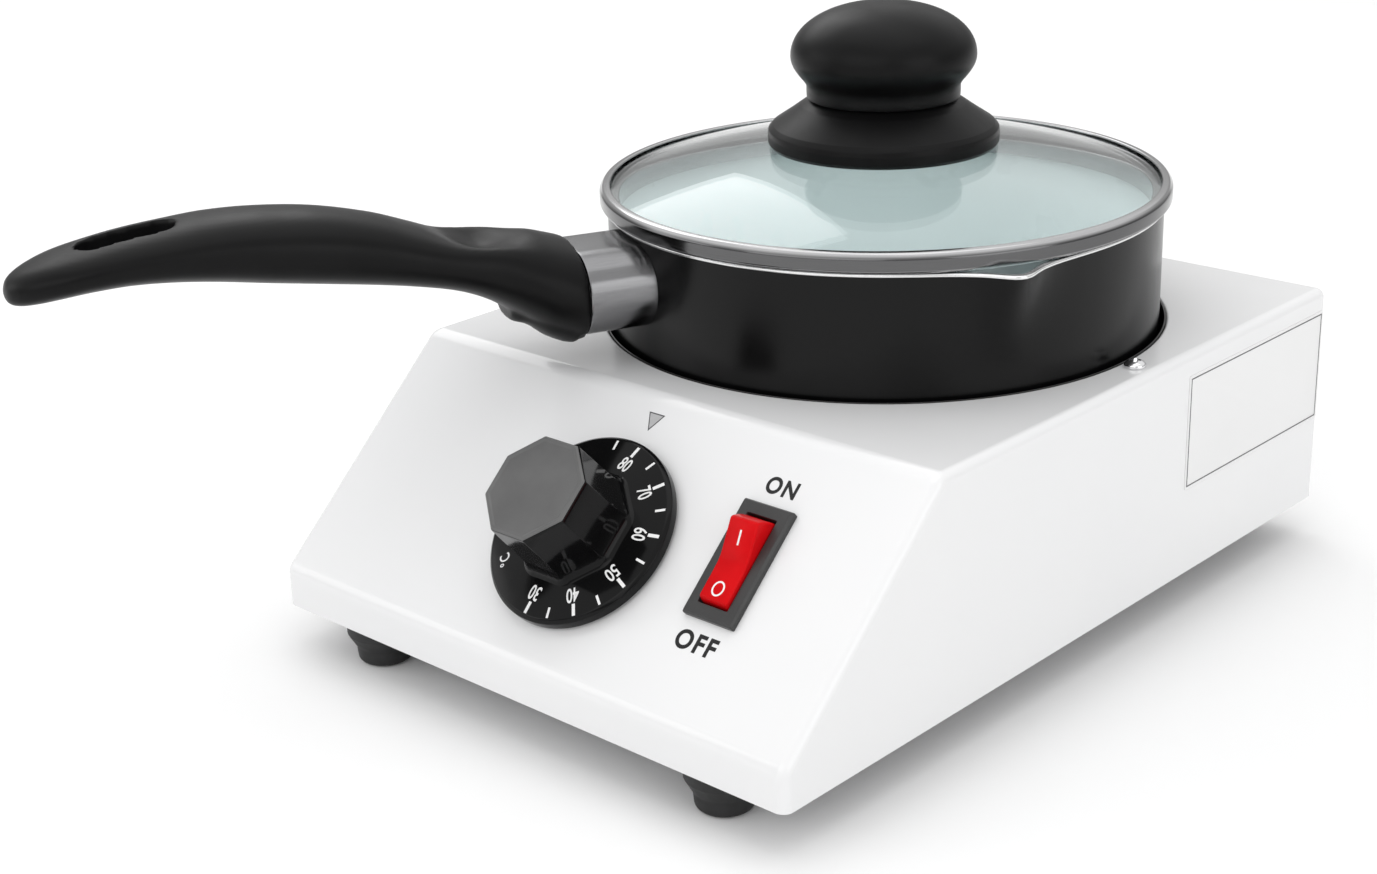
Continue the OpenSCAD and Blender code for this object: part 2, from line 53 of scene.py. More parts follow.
# ------------------------------------------------------------------ places, in mm
blo, bhi = [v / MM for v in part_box("body_shell")]
X0, Y0 = (blo.x + bhi.x) / 2, (blo.y + bhi.y) / 2
HW, HD = (bhi.x - blo.x) / 2, (bhi.y - blo.y) / 2
ZB, TOP = blo.z, bhi.z
SHEET = 1.2
rlo, rhi = [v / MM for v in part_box("lid_ring")]
PX, PY = (rlo.x + rhi.x) / 2, (rlo.y + rhi.y) / 2
joints = {j["name"]: j for j in frame["joints"]}
DIAL = Vector(joints["dial_turn"]["pos_m"]) / MM
NRM = Vector(joints["dial_turn"]["axis"]).normalized()
EX = Vector((1, 0, 0))
ES = NRM.cross(EX).normalized()
if ES.z < 0:
    ES = -ES
PIV = Vector(joints["switch_tilt"]["pos_m"]) / MM
FRONT = Y0 - HD
ZL = DIAL.z + (FRONT - DIAL.y) * ES.z / ES.y      # where the slope meets the lip
YF = DIAL.y + (TOP - DIAL.z) * ES.y / ES.z        # where the slope meets the top
S_DIAL = (DIAL.y - FRONT) / ES.y
plo, phi = [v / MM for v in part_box("pot_shell")]
RIM_Z, PAN_Z = phi.z, plo.z
hole_lo, hole_hi = [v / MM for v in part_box("heater_well")]
HOLE_R = 75.0
PAN_R = 73.2


def slope(x, s, h=0.0):
    """A point on the control panel: x sideways from the case's middle, s up the slope, h off it."""
    return Vector((X0 + x, 0, 0)) + Vector((0, DIAL.y, DIAL.z)) + ES * (s - S_DIAL) + NRM * h


DX = DIAL.x - X0
sw = PIV + NRM * 1.0
SX, SS = sw.x - X0, (sw - Vector((sw.x, DIAL.y, DIAL.z))).dot(ES) + S_DIAL


def frame_matrix(origin, x, y, z):
    m = Matrix((x, y, z)).transposed().to_4x4()
    m.translation = origin
    return m


M_DIAL = frame_matrix(DIAL, EX, ES, NRM)
M_SW = frame_matrix(slope(SX, SS, 0), EX, ES, NRM)
M_PAN = Matrix.Translation((PX, PY, 0))
HAZ = rad(-115)
M_HAN = Matrix.Translation((PX, PY, 0)) @ Matrix.Rotation(HAZ, 4, "Z")
flo, fhi = [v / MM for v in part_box("handle_screw")]
HZ = (flo.z + fhi.z) / 2


# ------------------------------------------------------------------ mesh helpers
def new_object(name, me):
    o = bpy.data.objects.new(name, me)
    coll.objects.link(o)
    return o


def from_bm(name, bm, matrix=None, smooth=35, scale=MM):
    if matrix is not None:
        bmesh.ops.transform(bm, matrix=matrix, verts=bm.verts)
    bmesh.ops.scale(bm, vec=(scale,) * 3, verts=bm.verts)
    bmesh.ops.recalc_face_normals(bm, faces=bm.faces)
    me = bpy.data.meshes.new(name)
    bm.to_mesh(me)
    bm.free()
    shade(me, smooth)
    return new_object(name, me)


def shade(me, angle=35):
    me.polygons.foreach_set("use_smooth", [angle is not None] * len(me.polygons))
    if angle is not None and angle < 180:
        me.set_sharp_from_angle(angle=rad(angle))
    me.update()


def fillet(pts, radii, n=5, closed=True):
    """A polygon with each corner turned into an arc of the radius given for it."""
    out = []
    m = len(pts)
    for i, p in enumerate(pts):
        r = radii[i] if isinstance(radii, (list, tuple)) else radii
        if not closed and i in (0, m - 1):
            out.append(tuple(p))
            continue
        p, a, b = Vector(p), Vector(pts[i - 1]), Vector(pts[(i + 1) % m])
        if r <= 0:
            out.append(tuple(p))
            continue
        u, v = (a - p), (b - p)
        lu, lv = u.length, v.length
        if lu < 1e-6 or lv < 1e-6:
            out.append(tuple(p))
            continue
        u, v = u / lu, v / lv
        c = max(-1.0, min(1.0, u.dot(v)))
        half = math.acos(c) / 2
        if half > math.pi / 2 - 0.02:
            out.append(tuple(p))
            continue
        d = min(r / math.tan(half), lu * 0.499, lv * 0.499)
        rr = d * math.tan(half)
        centre = p + (u + v).normalized() * (rr / sin(half))
        s, e = p + u * d - centre, p + v * d - centre
        a0 = math.atan2(s.y, s.x)
        da = math.atan2(s.x * e.y - s.y * e.x, s.dot(e))
        for k in range(n + 1):
            t = a0 + da * k / n
            out.append((centre.x + rr * cos(t), centre.y + rr * sin(t)))
    return out


def lathe(name, pts, seg=128, matrix=None, closed=True, smooth=35, finish=True):
    """Turns a closed (r, z) outline round Z. Points on the axis are shared."""
    bm = bmesh.new()
    rings = []
    for r, z in pts:
        if r < 1e-4:
            rings.append([bm.verts.new((0, 0, z))])
        else:
            rings.append([bm.verts.new((r * cos(2 * math.pi * k / seg), r * sin(2 * math.pi * k / seg), z)) for k in range(seg)])
    m = len(rings)
    for i in range(m if closed else m - 1):
        a, b = rings[i], rings[(i + 1) % m]
        if len(a) == 1 and len(b) == 1:
            continue
        for k in range(seg):
            q = (k + 1) % seg
            if len(a) == 1:
                bm.faces.new((a[0], b[k], b[q]))
            elif len(b) == 1:
                bm.faces.new((a[k], b[0], a[q]))
            else:
                bm.faces.new((a[k], b[k], b[q], a[q]))
    if not finish:
        return bm
    return from_bm(name, bm, matrix, smooth)


def loft_bm(rings, caps=True):
    bm = bmesh.new()
    vs = [[bm.verts.new(p) for p in ring] for ring in rings]
    n = len(vs[0])
    for a, b in zip(vs, vs[1:]):
        for k in range(n):
            q = (k + 1) % n
            bm.faces.new((a[k], a[q], b[q], b[k]))
    if caps:
        bm.faces.new(list(reversed(vs[0])))
        bm.faces.new(vs[-1])
    return bm


def prism(outline, z0, z1, bevel_top=0.0, bevel_bottom=0.0, n=3):
    """An outline in XY made into a solid from z0 to z1, its ends rounded inwards."""
    def inset(d):
        out = []
        m = len(outline)
        for i in range(m):
            p, a, b = Vector(outline[i]), Vector(outline[i - 1]), Vector(outline[(i + 1) % m])
            e1, e2 = (p - a), (b - p)
            n1 = Vector((-e1.y, e1.x)).normalized() if e1.length > 1e-9 else Vector((0, 0))
            n2 = Vector((-e2.y, e2.x)).normalized() if e2.length > 1e-9 else n1
            nn = (n1 + n2)
            if nn.length < 1e-9:
                nn = n1
            nn.normalize()
            k = d / max(0.3, nn.dot(n1))
            out.append((p.x + nn.x * k, p.y + nn.y * k))
        return out
    rings = []
    if bevel_bottom > 0:
        for i in range(n):
            t = math.pi / 2 * i / n
            rings.append([(x, y, z0 + bevel_bottom * (1 - cos(t))) for x, y in inset(bevel_bottom * (1 - sin(t)))])
    rings.append([(x, y, z0 + bevel_bottom) for x, y in outline])
    rings.append([(x, y, z1 - bevel_top) for x, y in outline])
    if bevel_top > 0:
        for i in range(1, n + 1):
            t = math.pi / 2 * i / n
            rings.append([(x, y, z1 - bevel_top * (1 - sin(t))) for x, y in inset(bevel_top * (1 - cos(t)))])
    return loft_bm(rings)


def rect(w, h, r=0.0, n=4, cx=0.0, cy=0.0):
    p = [(cx - w / 2, cy - h / 2), (cx + w / 2, cy - h / 2), (cx + w / 2, cy + h / 2), (cx - w / 2, cy + h / 2)]
    return fillet(p, r, n) if r > 0 else p


def circle_pts(r, n=48, cx=0.0, cy=0.0):
    return [(cx + r * cos(2 * math.pi * k / n), cy + r * sin(2 * math.pi * k / n)) for k in range(n)]


def merge(bms):
    me = bpy.data.meshes.new("t")
    out = bmesh.new()
    for b in bms:
        b.to_mesh(me)
        b.free()
        out.from_mesh(me)
    bpy.data.meshes.remove(me)
    return out


def moved(bm, matrix):
    bmesh.ops.transform(bm, matrix=matrix, verts=bm.verts)
    return bm


def applied(o):
    dg = bpy.context.evaluated_depsgraph_get()
    me = bpy.data.meshes.new_from_object(o.evaluated_get(dg))
    old = o.data
    o.modifiers.clear()
    o.data = me
    bpy.data.meshes.remove(old)
    return o


def boolean(o, cutter, op="DIFFERENCE", keep=False):
    m = o.modifiers.new("b", "BOOLEAN")
    m.operation, m.solver, m.object = op, "EXACT", cutter
    applied(o)
    if not keep:
        bpy.data.objects.remove(cutter)
    return o


def cutter_of(bm, matrix=None):
    return from_bm("cutter", bm, matrix, None)


def weighted(o, angle=35):
    shade(o.data, angle)
    m = o.modifiers.new("wn", "WEIGHTED_NORMAL")
    m.keep_sharp, m.weight = True, 100
    return o


def edge_bevel(o, width, segments=2, angle=40):
    m = o.modifiers.new("bev", "BEVEL")
    m.width, m.segments, m.limit_method, m.angle_limit = width * MM, segments, "ANGLE", rad(angle)
    m.harden_normals = False
    return applied(o)


def text_mesh(body, height, squash=1.0, thick=0.0, bold=0.0, spacing=1.0):
    """Text as a flat mesh in mm, centred on the origin, height being that of a capital."""
    c = bpy.data.curves.new("txt", "FONT")
    c.body, c.size, c.space_character = body, 1.0, spacing
    c.resolution_u = 6
    c.offset = bold
    o = bpy.data.objects.new("txt", c)
    coll.objects.link(o)
    dg = bpy.context.evaluated_depsgraph_get()
    me = bpy.data.meshes.new_from_object(o.evaluated_get(dg))
    bpy.data.objects.remove(o)
    bm = bmesh.new()
    bm.from_mesh(me)
    bpy.data.meshes.remove(me)
    xs = [v.co.x for v in bm.verts]
    ys = [v.co.y for v in bm.verts]
    k = height / 0.73
    cx, cy = (min(xs) + max(xs)) / 2, (min(ys) + max(ys)) / 2
    for v in bm.verts:
        v.co.x = (v.co.x - cx) * k * squash
        v.co.y = (v.co.y - cy) * k
        v.co.z = 0
    return bm


def thicken(bm, t):
    """Gives a flat mesh a thickness t along Z, as a closed solid."""
    g = bmesh.ops.extrude_face_region(bm, geom=list(bm.faces))
    for e in g["geom"]:
        if isinstance(e, bmesh.types.BMVert):
            e.co.z += t
    return bm


# ------------------------------------------------------------------ materials
class Mat:
    def __init__(self, name):
        self.m = bpy.data.materials.new(name)
        self.m.use_nodes = True
        self.nt = self.m.node_tree
        self.p = next(n for n in self.nt.nodes if n.type == "BSDF_PRINCIPLED")
        self.co = None

    def node(self, kind, **kw):
        n = self.nt.nodes.new(kind)
        for k, v in kw.items():
            setattr(n, k, v)
        return n

    def link(self, a, b):
        self.nt.links.new(a, b)

    def coords(self):
        if self.co is None:
            t = self.node("ShaderNodeTexCoord")
            self.co = t.outputs["Object"]
        return self.co

    def turned(self, centre, axis="z"):
        """Coordinates round an upright axis: radius, height and a slow angle, for a turned finish."""
        s = self.node("ShaderNodeVectorMath", operation="SUBTRACT")
        self.link(self.coords(), s.inputs[0])
        s.inputs[1].default_value = (centre[0] * MM, centre[1] * MM, 0)
        x = self.node("ShaderNodeSeparateXYZ")
        self.link(s.outputs[0], x.inputs[0])
        a = self.node("ShaderNodeMath", operation="MULTIPLY")
        b = self.node("ShaderNodeMath", operation="MULTIPLY_ADD")
        self.link(x.outputs[0], a.inputs[0])
        self.link(x.outputs[0], a.inputs[1])
        self.link(x.outputs[1], b.inputs[0])
        self.link(x.outputs[1], b.inputs[1])
        self.link(a.outputs[0], b.inputs[2])
        r = self.node("ShaderNodeMath", operation="SQRT")
        self.link(b.outputs[0], r.inputs[0])
        t = self.node("ShaderNodeMath", operation="ARCTAN2")
        self.link(x.outputs[1], t.inputs[0])
        self.link(x.outputs[0], t.inputs[1])
        q = self.node("ShaderNodeMath", operation="MULTIPLY")
        self.link(t.outputs[0], q.inputs[0])
        q.inputs[1].default_value = 0.0016
        c = self.node("ShaderNodeCombineXYZ")
        self.link(r.outputs[0], c.inputs[0])
        self.link(x.outputs[2], c.inputs[1])
        self.link(q.outputs[0], c.inputs[2])
        return c.outputs[0]

    def stretched(self, scale, rot=(0, 0, 0)):
        m = self.node("ShaderNodeMapping")
        m.inputs["Scale"].default_value = scale
        m.inputs["Rotation"].default_value = rot
        self.link(self.coords(), m.inputs[0])
        return m.outputs[0]

    def noise(self, scale, detail=3, rough=0.5, vec=None, distort=0.0):
        n = self.node("ShaderNodeTexNoise")
        n.inputs["Scale"].default_value = scale
        n.inputs["Detail"].default_value = detail
        n.inputs["Roughness"].default_value = rough
        n.inputs["Distortion"].default_value = distort
        self.link(vec or self.coords(), n.inputs["Vector"])
        return n.outputs[0]

    def map(self, v, a, b, lo=0.3, hi=0.7):
        n = self.node("ShaderNodeMapRange")
        n.inputs["From Min"].default_value = lo
        n.inputs["From Max"].default_value = hi
        n.inputs["To Min"].default_value = a
        n.inputs["To Max"].default_value = b
        self.link(v, n.inputs["Value"])
        return n.outputs[0]

    def ramp(self, v, stops):
        n = self.node("ShaderNodeValToRGB")
        e = n.color_ramp.elements
        while len(e) < len(stops):
            e.new(0.5)
        for k, (p, c) in enumerate(stops):
            e[k].position = p
            e[k].color = (*c, 1)
        self.link(v, n.inputs[0])
        return n.outputs[0]

    def mix(self, f, a, b):
        n = self.node("ShaderNodeMix", data_type="RGBA")
        for s, v in (("A", a), ("B", b)):
            i = next(x for x in n.inputs if x.name == s and x.type == "RGBA")
            if isinstance(v, tuple):
                i.default_value = (*v, 1)
            else:
                self.link(v, i)
        i = n.inputs[0]
        if isinstance(f, (int, float)):
            i.default_value = f
        else:
            self.link(f, i)
        return next(x for x in n.outputs if x.type == "RGBA")

    def bump(self, height, strength, dist, normal=None):
        b = self.node("ShaderNodeBump")
        b.inputs["Strength"].default_value = strength
        b.inputs["Distance"].default_value = dist
        self.link(height, b.inputs["Height"])
        if normal is not None:
            self.link(normal, b.inputs["Normal"])
        return b.outputs[0]

    def normal(self, out):
        self.link(out, self.p.inputs["Normal"])

    def set(self, **kw):
        names = {"rough": "Roughness", "metal": "Metallic", "coat": "Coat Weight", "coat_rough": "Coat Roughness", "ior": "IOR",
                 "spec": "Specular IOR Level", "trans": "Transmission Weight", "aniso": "Anisotropic", "sheen": "Sheen Weight",
                 "sub": "Subsurface Weight"}
        for k, v in kw.items():
            i = self.p.inputs["Base Color" if k == "color" else names[k]]
            if isinstance(v, bpy.types.NodeSocket):
                self.link(v, i)
            elif k == "color":
                i.default_value = (*v, 1)
            else:
                i.default_value = v
        return self


def tint(c, k):
    return tuple(max(0.0, min(1.0, x * k)) for x in c)


def plain(name, color, rough, metal=0.0, var=0.06, scale=60, bump=(900, 0.15, 0.00002), rvar=0.05, **kw):
    """Small variation of colour and gloss with a fine surface texture."""
    m = Mat(name)
    f = m.map(m.noise(scale, 4), 0, 1)
    m.set(color=m.mix(f, tint(color, 1 - var), tint(color, 1 + var)), metal=metal, **kw)
    m.set(rough=m.map(m.noise(scale * 2.3, 4), max(0.02, rough - rvar), rough + rvar))
    if bump:
        m.normal(m.bump(m.noise(bump[0], 3), bump[1], bump[2]))
    return m.m


def powder_coat():
    m = Mat("white_coat")
    f = m.map(m.noise(9, 3), 0, 1)
    m.set(color=m.mix(f, (0.775, 0.778, 0.785), (0.80, 0.80, 0.803)), coat=0.35, coat_rough=0.08, spec=0.5)
    m.set(rough=m.map(m.noise(40, 3), 0.2, 0.27))
    peel = m.noise(260, 2, 0.45)
    m.normal(m.bump(peel, 0.05, 0.00008))
    return m.m


def bakelite():
    m = Mat("bakelite")
    f = m.map(m.noise(70, 5, 0.6), 0, 1)
    m.set(color=m.mix(f, (0.0028, 0.0028, 0.003), (0.0042, 0.0042, 0.0044)), spec=0.14)
    m.set(rough=m.map(m.noise(120, 4), 0.33, 0.39))
    a = m.bump(m.noise(2600, 3, 0.6), 0.22, 0.00003)
    m.normal(m.bump(m.noise(90, 2), 0.04, 0.0003, a))
    return m.m


def gloss_black(name="dial_gloss", rough=0.09):
    m = Mat(name)
    f = m.map(m.noise(50, 4), 0, 1)
    m.set(color=m.mix(f, (0.0028, 0.0028, 0.003), (0.0042, 0.0042, 0.0044)), spec=0.17)
    m.set(rough=m.map(m.noise(200, 4, 0.6), rough * 0.8, rough * 1.35))
    m.normal(m.bump(m.noise(140, 3), 0.03, 0.0001))
    return m.m


def satin_black(name, c=0.02, rough=0.42, grain=2200, strength=0.25):
    m = Mat(name)
    f = m.map(m.noise(80, 4), 0, 1)
    m.set(color=m.mix(f, (c * 0.86,) * 3, (c * 1.18,) * 3), spec=0.5)
    m.set(rough=m.map(m.noise(150, 4), rough - 0.04, rough + 0.05))
    m.normal(m.bump(m.noise(grain, 3, 0.6), strength, 0.00003))
    return m.m


def pan_black():
    """Sprayed coating: semi-gloss, with a very fine orange peel."""
    m = Mat("pan_coating")
    f = m.map(m.noise(45, 4), 0, 1)
    m.set(color=m.mix(f, (0.0018, 0.0018, 0.0019), (0.0027, 0.0027, 0.0028)), spec=0.20)
    m.set(rough=m.map(m.noise(90, 4), 0.22, 0.27))
    m.normal(m.bump(m.noise(1500, 3, 0.6), 0.10, 0.00003, m.bump(m.noise(160, 2), 0.05, 0.0001)))
    return m.m


def pan_inside():
    m = Mat("pan_ceramic")
    f = m.map(m.noise(30, 4), 0, 1)
    speck = m.map(m.noise(5200, 2, 0.7), 0, 0.6, 0.70, 0.78)
    base = m.mix(f, (0.83, 0.905, 0.91), (0.85, 0.92, 0.925))
    m.set(color=m.mix(speck, base, (0.76, 0.83, 0.84)), coat=0.3, coat_rough=0.12, spec=0.5)
    m.set(rough=m.map(m.noise(60, 3), 0.26, 0.33))
    m.normal(m.bump(m.noise(500, 3), 0.05, 0.00005))
    return m.m


def steel(name, centre=None, color=(0.66, 0.66, 0.665), rough=0.22, strength=0.12, lines=9000, along=None, aniso=0.0, band=None):
    """Brushed steel. With a centre the lines run round it, otherwise along one direction.
    The last argument, (low, high, colour) in mm, paints a darker strip between brighter edges: painted shade standing
    in for a dark reflection, not a duller finish."""
    m = Mat(name)
    if centre is not None:
        vec = m.turned(centre)
    else:
        vec = m.stretched(along or (1, 1, 0.02))
    fine = m.noise(lines, 3, 0.6, vec)
    broad = m.noise(lines * 0.12, 4, 0.55, vec)
    f = m.map(fine, 0, 1, 0.25, 0.75)
    col = m.mix(f, tint(color, 0.93), tint(color, 1.05))
    # painted reflection: between low and high the base colour is swapped for a darker one, standing in for a dark band
    # of surroundings reflected in the polished metal
    if band:
        lo, hi, painted_reflection_colour = band
        sx = m.node("ShaderNodeSeparateXYZ")
        m.link(m.coords(), sx.inputs[0])
        up_ = m.map(sx.outputs[2], 0, 1, (lo - 0.25) * MM, (lo + 0.25) * MM)
        dn_ = m.map(sx.outputs[2], 1, 0, (hi - 0.3) * MM, (hi + 0.3) * MM)
        k = m.node("ShaderNodeMath", operation="MULTIPLY")
        m.link(up_, k.inputs[0])
        m.link(dn_, k.inputs[1])
        col = m.mix(k.outputs[0], col, m.mix(f, tint(painted_reflection_colour, 0.92), tint(painted_reflection_colour, 1.06)))
    m.set(color=col, metal=1.0)
    m.set(rough=m.map(broad, rough - 0.05, rough + 0.06, 0.3, 0.7))
    if aniso:
        m.set(aniso=aniso)
    m.normal(m.bump(fine, strength, 0.00001))
    return m.m


def rubber():
    m = Mat("rubber_black")
    f = m.map(m.noise(120, 5), 0, 1)
    m.set(color=m.mix(f, (0.012, 0.012, 0.012), (0.022, 0.022, 0.023)), spec=0.4)
    m.set(rough=m.map(m.noise(300, 4), 0.5, 0.62))
    m.normal(m.bump(m.noise(1400, 4, 0.65), 0.3, 0.00005))
    return m.m


def rocker_red():
    m = Mat("rocker_red")
    f = m.map(m.noise(110, 4), 0, 1)
    m.set(color=m.mix(f, (0.50, 0.0028, 0.005), (0.62, 0.0055, 0.008)), spec=0.05, coat=0.0, sub=0.05)
    m.p.inputs["Subsurface Radius"].default_value = (1.0, 0.08, 0.06)
    m.p.inputs["Subsurface Scale"].default_value = 0.0022
    m.set(rough=m.map(m.noise(260, 4), 0.14, 0.2))
    m.normal(m.bump(m.noise(220, 2), 0.03, 0.0001))
    return m.m


def glass():
    m = Mat("clear_glass")
    f = m.map(m.noise(20, 2), 0, 1)
    m.set(color=m.mix(f, (0.945, 0.975, 0.97), (0.955, 0.98, 0.976)), trans=1.0, ior=1.32, rough=0.01)
    m.normal(m.bump(m.noise(18, 1), 0.02, 0.0002))
    out = next(n for n in m.nt.nodes if n.type == "OUTPUT_MATERIAL")
    lp = m.node("ShaderNodeLightPath")
    tr = m.node("ShaderNodeBsdfTransparent")
    tr.inputs[0].default_value = (0.93, 0.965, 0.96, 1)
    mx = m.node("ShaderNodeMixShader")
    m.link(lp.outputs["Is Shadow Ray"], mx.inputs[0])
    m.link(m.p.outputs[0], mx.inputs[1])
    m.link(tr.outputs[0], mx.inputs[2])
    m.link(mx.outputs[0], out.inputs[0])
    return m.m


def ink(name, c, rough=0.45):
    m = Mat(name)
    f = m.map(m.noise(900, 3, 0.7), 0, 1)
    m.set(color=m.mix(f, tint(c, 0.94), tint(c, 1.04)), spec=0.35)
    m.set(rough=m.map(m.noise(500, 3), rough - 0.05, rough + 0.05))
    return m.m


def mica():
    m = Mat("mica_sheet")
    f = m.noise(130, 6, 0.65, distort=0.6)
    c = m.ramp(f, [(0.3, (0.36, 0.30, 0.18)), (0.5, (0.52, 0.45, 0.30)), (0.7, (0.62, 0.56, 0.40))])
    m.set(color=c, spec=0.4)
    m.set(rough=m.map(f, 0.4, 0.6))
    m.normal(m.bump(m.noise(700, 4), 0.2, 0.00005))
    return m.m


def fibre():
    m = Mat("ceramic_fibre")
    f = m.noise(260, 6, 0.75, distort=1.2)
    m.set(color=m.ramp(f, [(0.3, (0.62, 0.60, 0.55)), (0.7, (0.82, 0.81, 0.77))]), rough=0.95, sheen=0.3)
    m.normal(m.bump(m.noise(1400, 6, 0.8, distort=1.0), 0.7, 0.0004))
    return m.m


def floor_mat():
    m = Mat("studio_floor")
    f = m.map(m.noise(1.5, 2), 0, 1)
    m.set(color=m.mix(f, (0.885, 0.885, 0.885), (0.895, 0.895, 0.895)), rough=0.85, spec=0.2)
    return m.m


MAT = {
    "coat": powder_coat(),
    "bakelite": bakelite(),
    "dial": gloss_black(),
    "dial_top": satin_black("dial_top", 0.10, 0.36, 1600, 0.18),
    "pan": pan_black(),
    "pan_in": pan_inside(),
    "rim": steel("rim_steel", (PX, PY), (0.80, 0.80, 0.80), 0.2, 0.06),
    # the ring's darker band on its outer face is painted shade, a dark reflection put into the base colour
    "ring": steel("ring_steel", (PX, PY), (0.52, 0.52, 0.525), 0.15, 0.07, 9000, band=(RIM_Z + 0.9, rhi.z - 1.0, (0.13, 0.13, 0.132))),
    "ferrule": steel("ferrule_steel", None, (0.22, 0.22, 0.225), 0.2, 0.06, 5200, (0.06, 0.03, 1.0)),
    "plain_steel": steel("plain_steel", None, (0.52, 0.52, 0.53), 0.34, 0.15, 2600, (1, 0.05, 1)),
    "zinc": plain("zinc_plate", (0.60, 0.61, 0.62), 0.3, 1.0, 0.07, 300, (2500, 0.12, 0.00002)),
    "chrome": plain("bright_screw", (0.78, 0.78, 0.79), 0.1, 1.0, 0.03, 400, (1500, 0.05, 0.00002), 0.03),
    "rubber": rubber(),
    "red": rocker_red(),
    "glass": glass(),
    "bezel": satin_black("bezel_black", 0.030, 0.40, 1900, 0.3),
    "housing": satin_black("housing_black", 0.016, 0.5, 1900, 0.3),
    "well": satin_black("well_black", 0.010, 0.34, 1300, 0.12),
    "white_ink": ink("white_ink", (0.86, 0.86, 0.86)),
    "black_ink": ink("black_ink", (0.009, 0.009, 0.0095)),
    "grey_ink": ink("grey_ink", (0.46, 0.46, 0.465)),
    "line_ink": ink("line_ink", (0.10, 0.10, 0.105)),
    "label": plain("label_film", (0.80, 0.80, 0.80), 0.36, 0.0, 0.012, 30, (900, 0.05, 0.00002), 0.015),
    "brass": steel("brass_turned", None, (0.70, 0.52, 0.22), 0.28, 0.1, 3000, (1, 1, 0.1)),
    "copper": plain("copper_tube", (0.66, 0.34, 0.20), 0.28, 1.0, 0.09, 200, (1500, 0.1, 0.00002)),
    "mica": mica(),
    "fibre": fibre(),
    "ceramic": plain("ceramic_case", (0.72, 0.70, 0.63), 0.3, 0.0, 0.04, 150, (900, 0.1, 0.00003)),
    "nylon": plain("nylon_block", (0.74, 0.73, 0.68), 0.42, 0.0, 0.04, 120, (800, 0.15, 0.00003), sub=0.1),
    "sleeve": plain("wire_sleeve", (0.05, 0.08, 0.25), 0.45, 0.0, 0.12, 200, (900, 0.2, 0.00004)),
}


def dress(o, *keys):
    mats = o.data.materials
    while len(mats) < len(keys):
        mats.append(None)
    for i, k in enumerate(keys):
        mats[i] = MAT[k]
    return o


CAD_LOOK = {
    "base_plate": "plain_steel", "foot_screws": "zinc", "foot_nuts": "zinc", "base_screws": "zinc", "well_nuts": "zinc",
    "heating_element": "mica", "insulation_pad": "fibre", "clamp_plate": "plain_steel", "clamp_nut": "zinc",
    "thermal_fuse": "ceramic", "sensor_bulb": "copper", "bulb_clip": "plain_steel", "capillary": "copper",
    "thermostat_body": "ceramic", "thermostat_screws": "zinc", "thermostat_shaft": "brass", "dial_insert": "brass",
    "switch_pivot": "zinc", "switch_terminals": "brass", "gland_nut": "housing", "terminal_block": "nylon",
    "terminal_screws": "zinc", "earth_stud": "brass", "wiring": "sleeve", "handle_bracket": "plain_steel",
    "handle_screw": "housing", "knob_washer": "rubber", "knob_screw": "zinc",
}
ALL_LOOK = dict(CAD_LOOK, body_shell="coat", feet="rubber", heater_well="well", well_screws="chrome", dial_knob="dial",
                switch_housing="bezel", switch_rocker="red", cable_gland="housing", side_label="label", pot_shell="pan",
                handle_ferrule="ferrule", handle_grip="bakelite", lid_glass="glass", lid_ring="ring", knob_base="bakelite",
                lid_knob="bakelite")
for name, key in ALL_LOOK.items():
    dress(frame["nodes"][name], key)

# ------------------------------------------------------------------ camera
cam = bpy.data.cameras.new("camera")
cam.lens, cam.sensor_width, cam.sensor_fit = 58.80, 36.0, "HORIZONTAL"
cam.clip_start, cam.clip_end = 0.01, 20
cam_ob = bpy.data.objects.new("camera", cam)
coll.objects.link(cam_ob)
caz, cel = rad(43.256), rad(20.989)
fwd = Vector((-sin(caz) * cos(cel), cos(caz) * cos(cel), -sin(cel)))
rgt = Vector((0.73569, 0.67667, -0.02950))
rgt = (rgt - fwd * rgt.dot(fwd)).normalized()
up = rgt.cross(fwd)
cm = Matrix((rgt, up, -fwd)).transposed().to_4x4()
cm.translation = Vector((X0, Y0, ZB)) * MM + Vector((0.358307, -0.431678, 0.247817))
cam_ob.matrix_world = cm
scene.camera = cam_ob


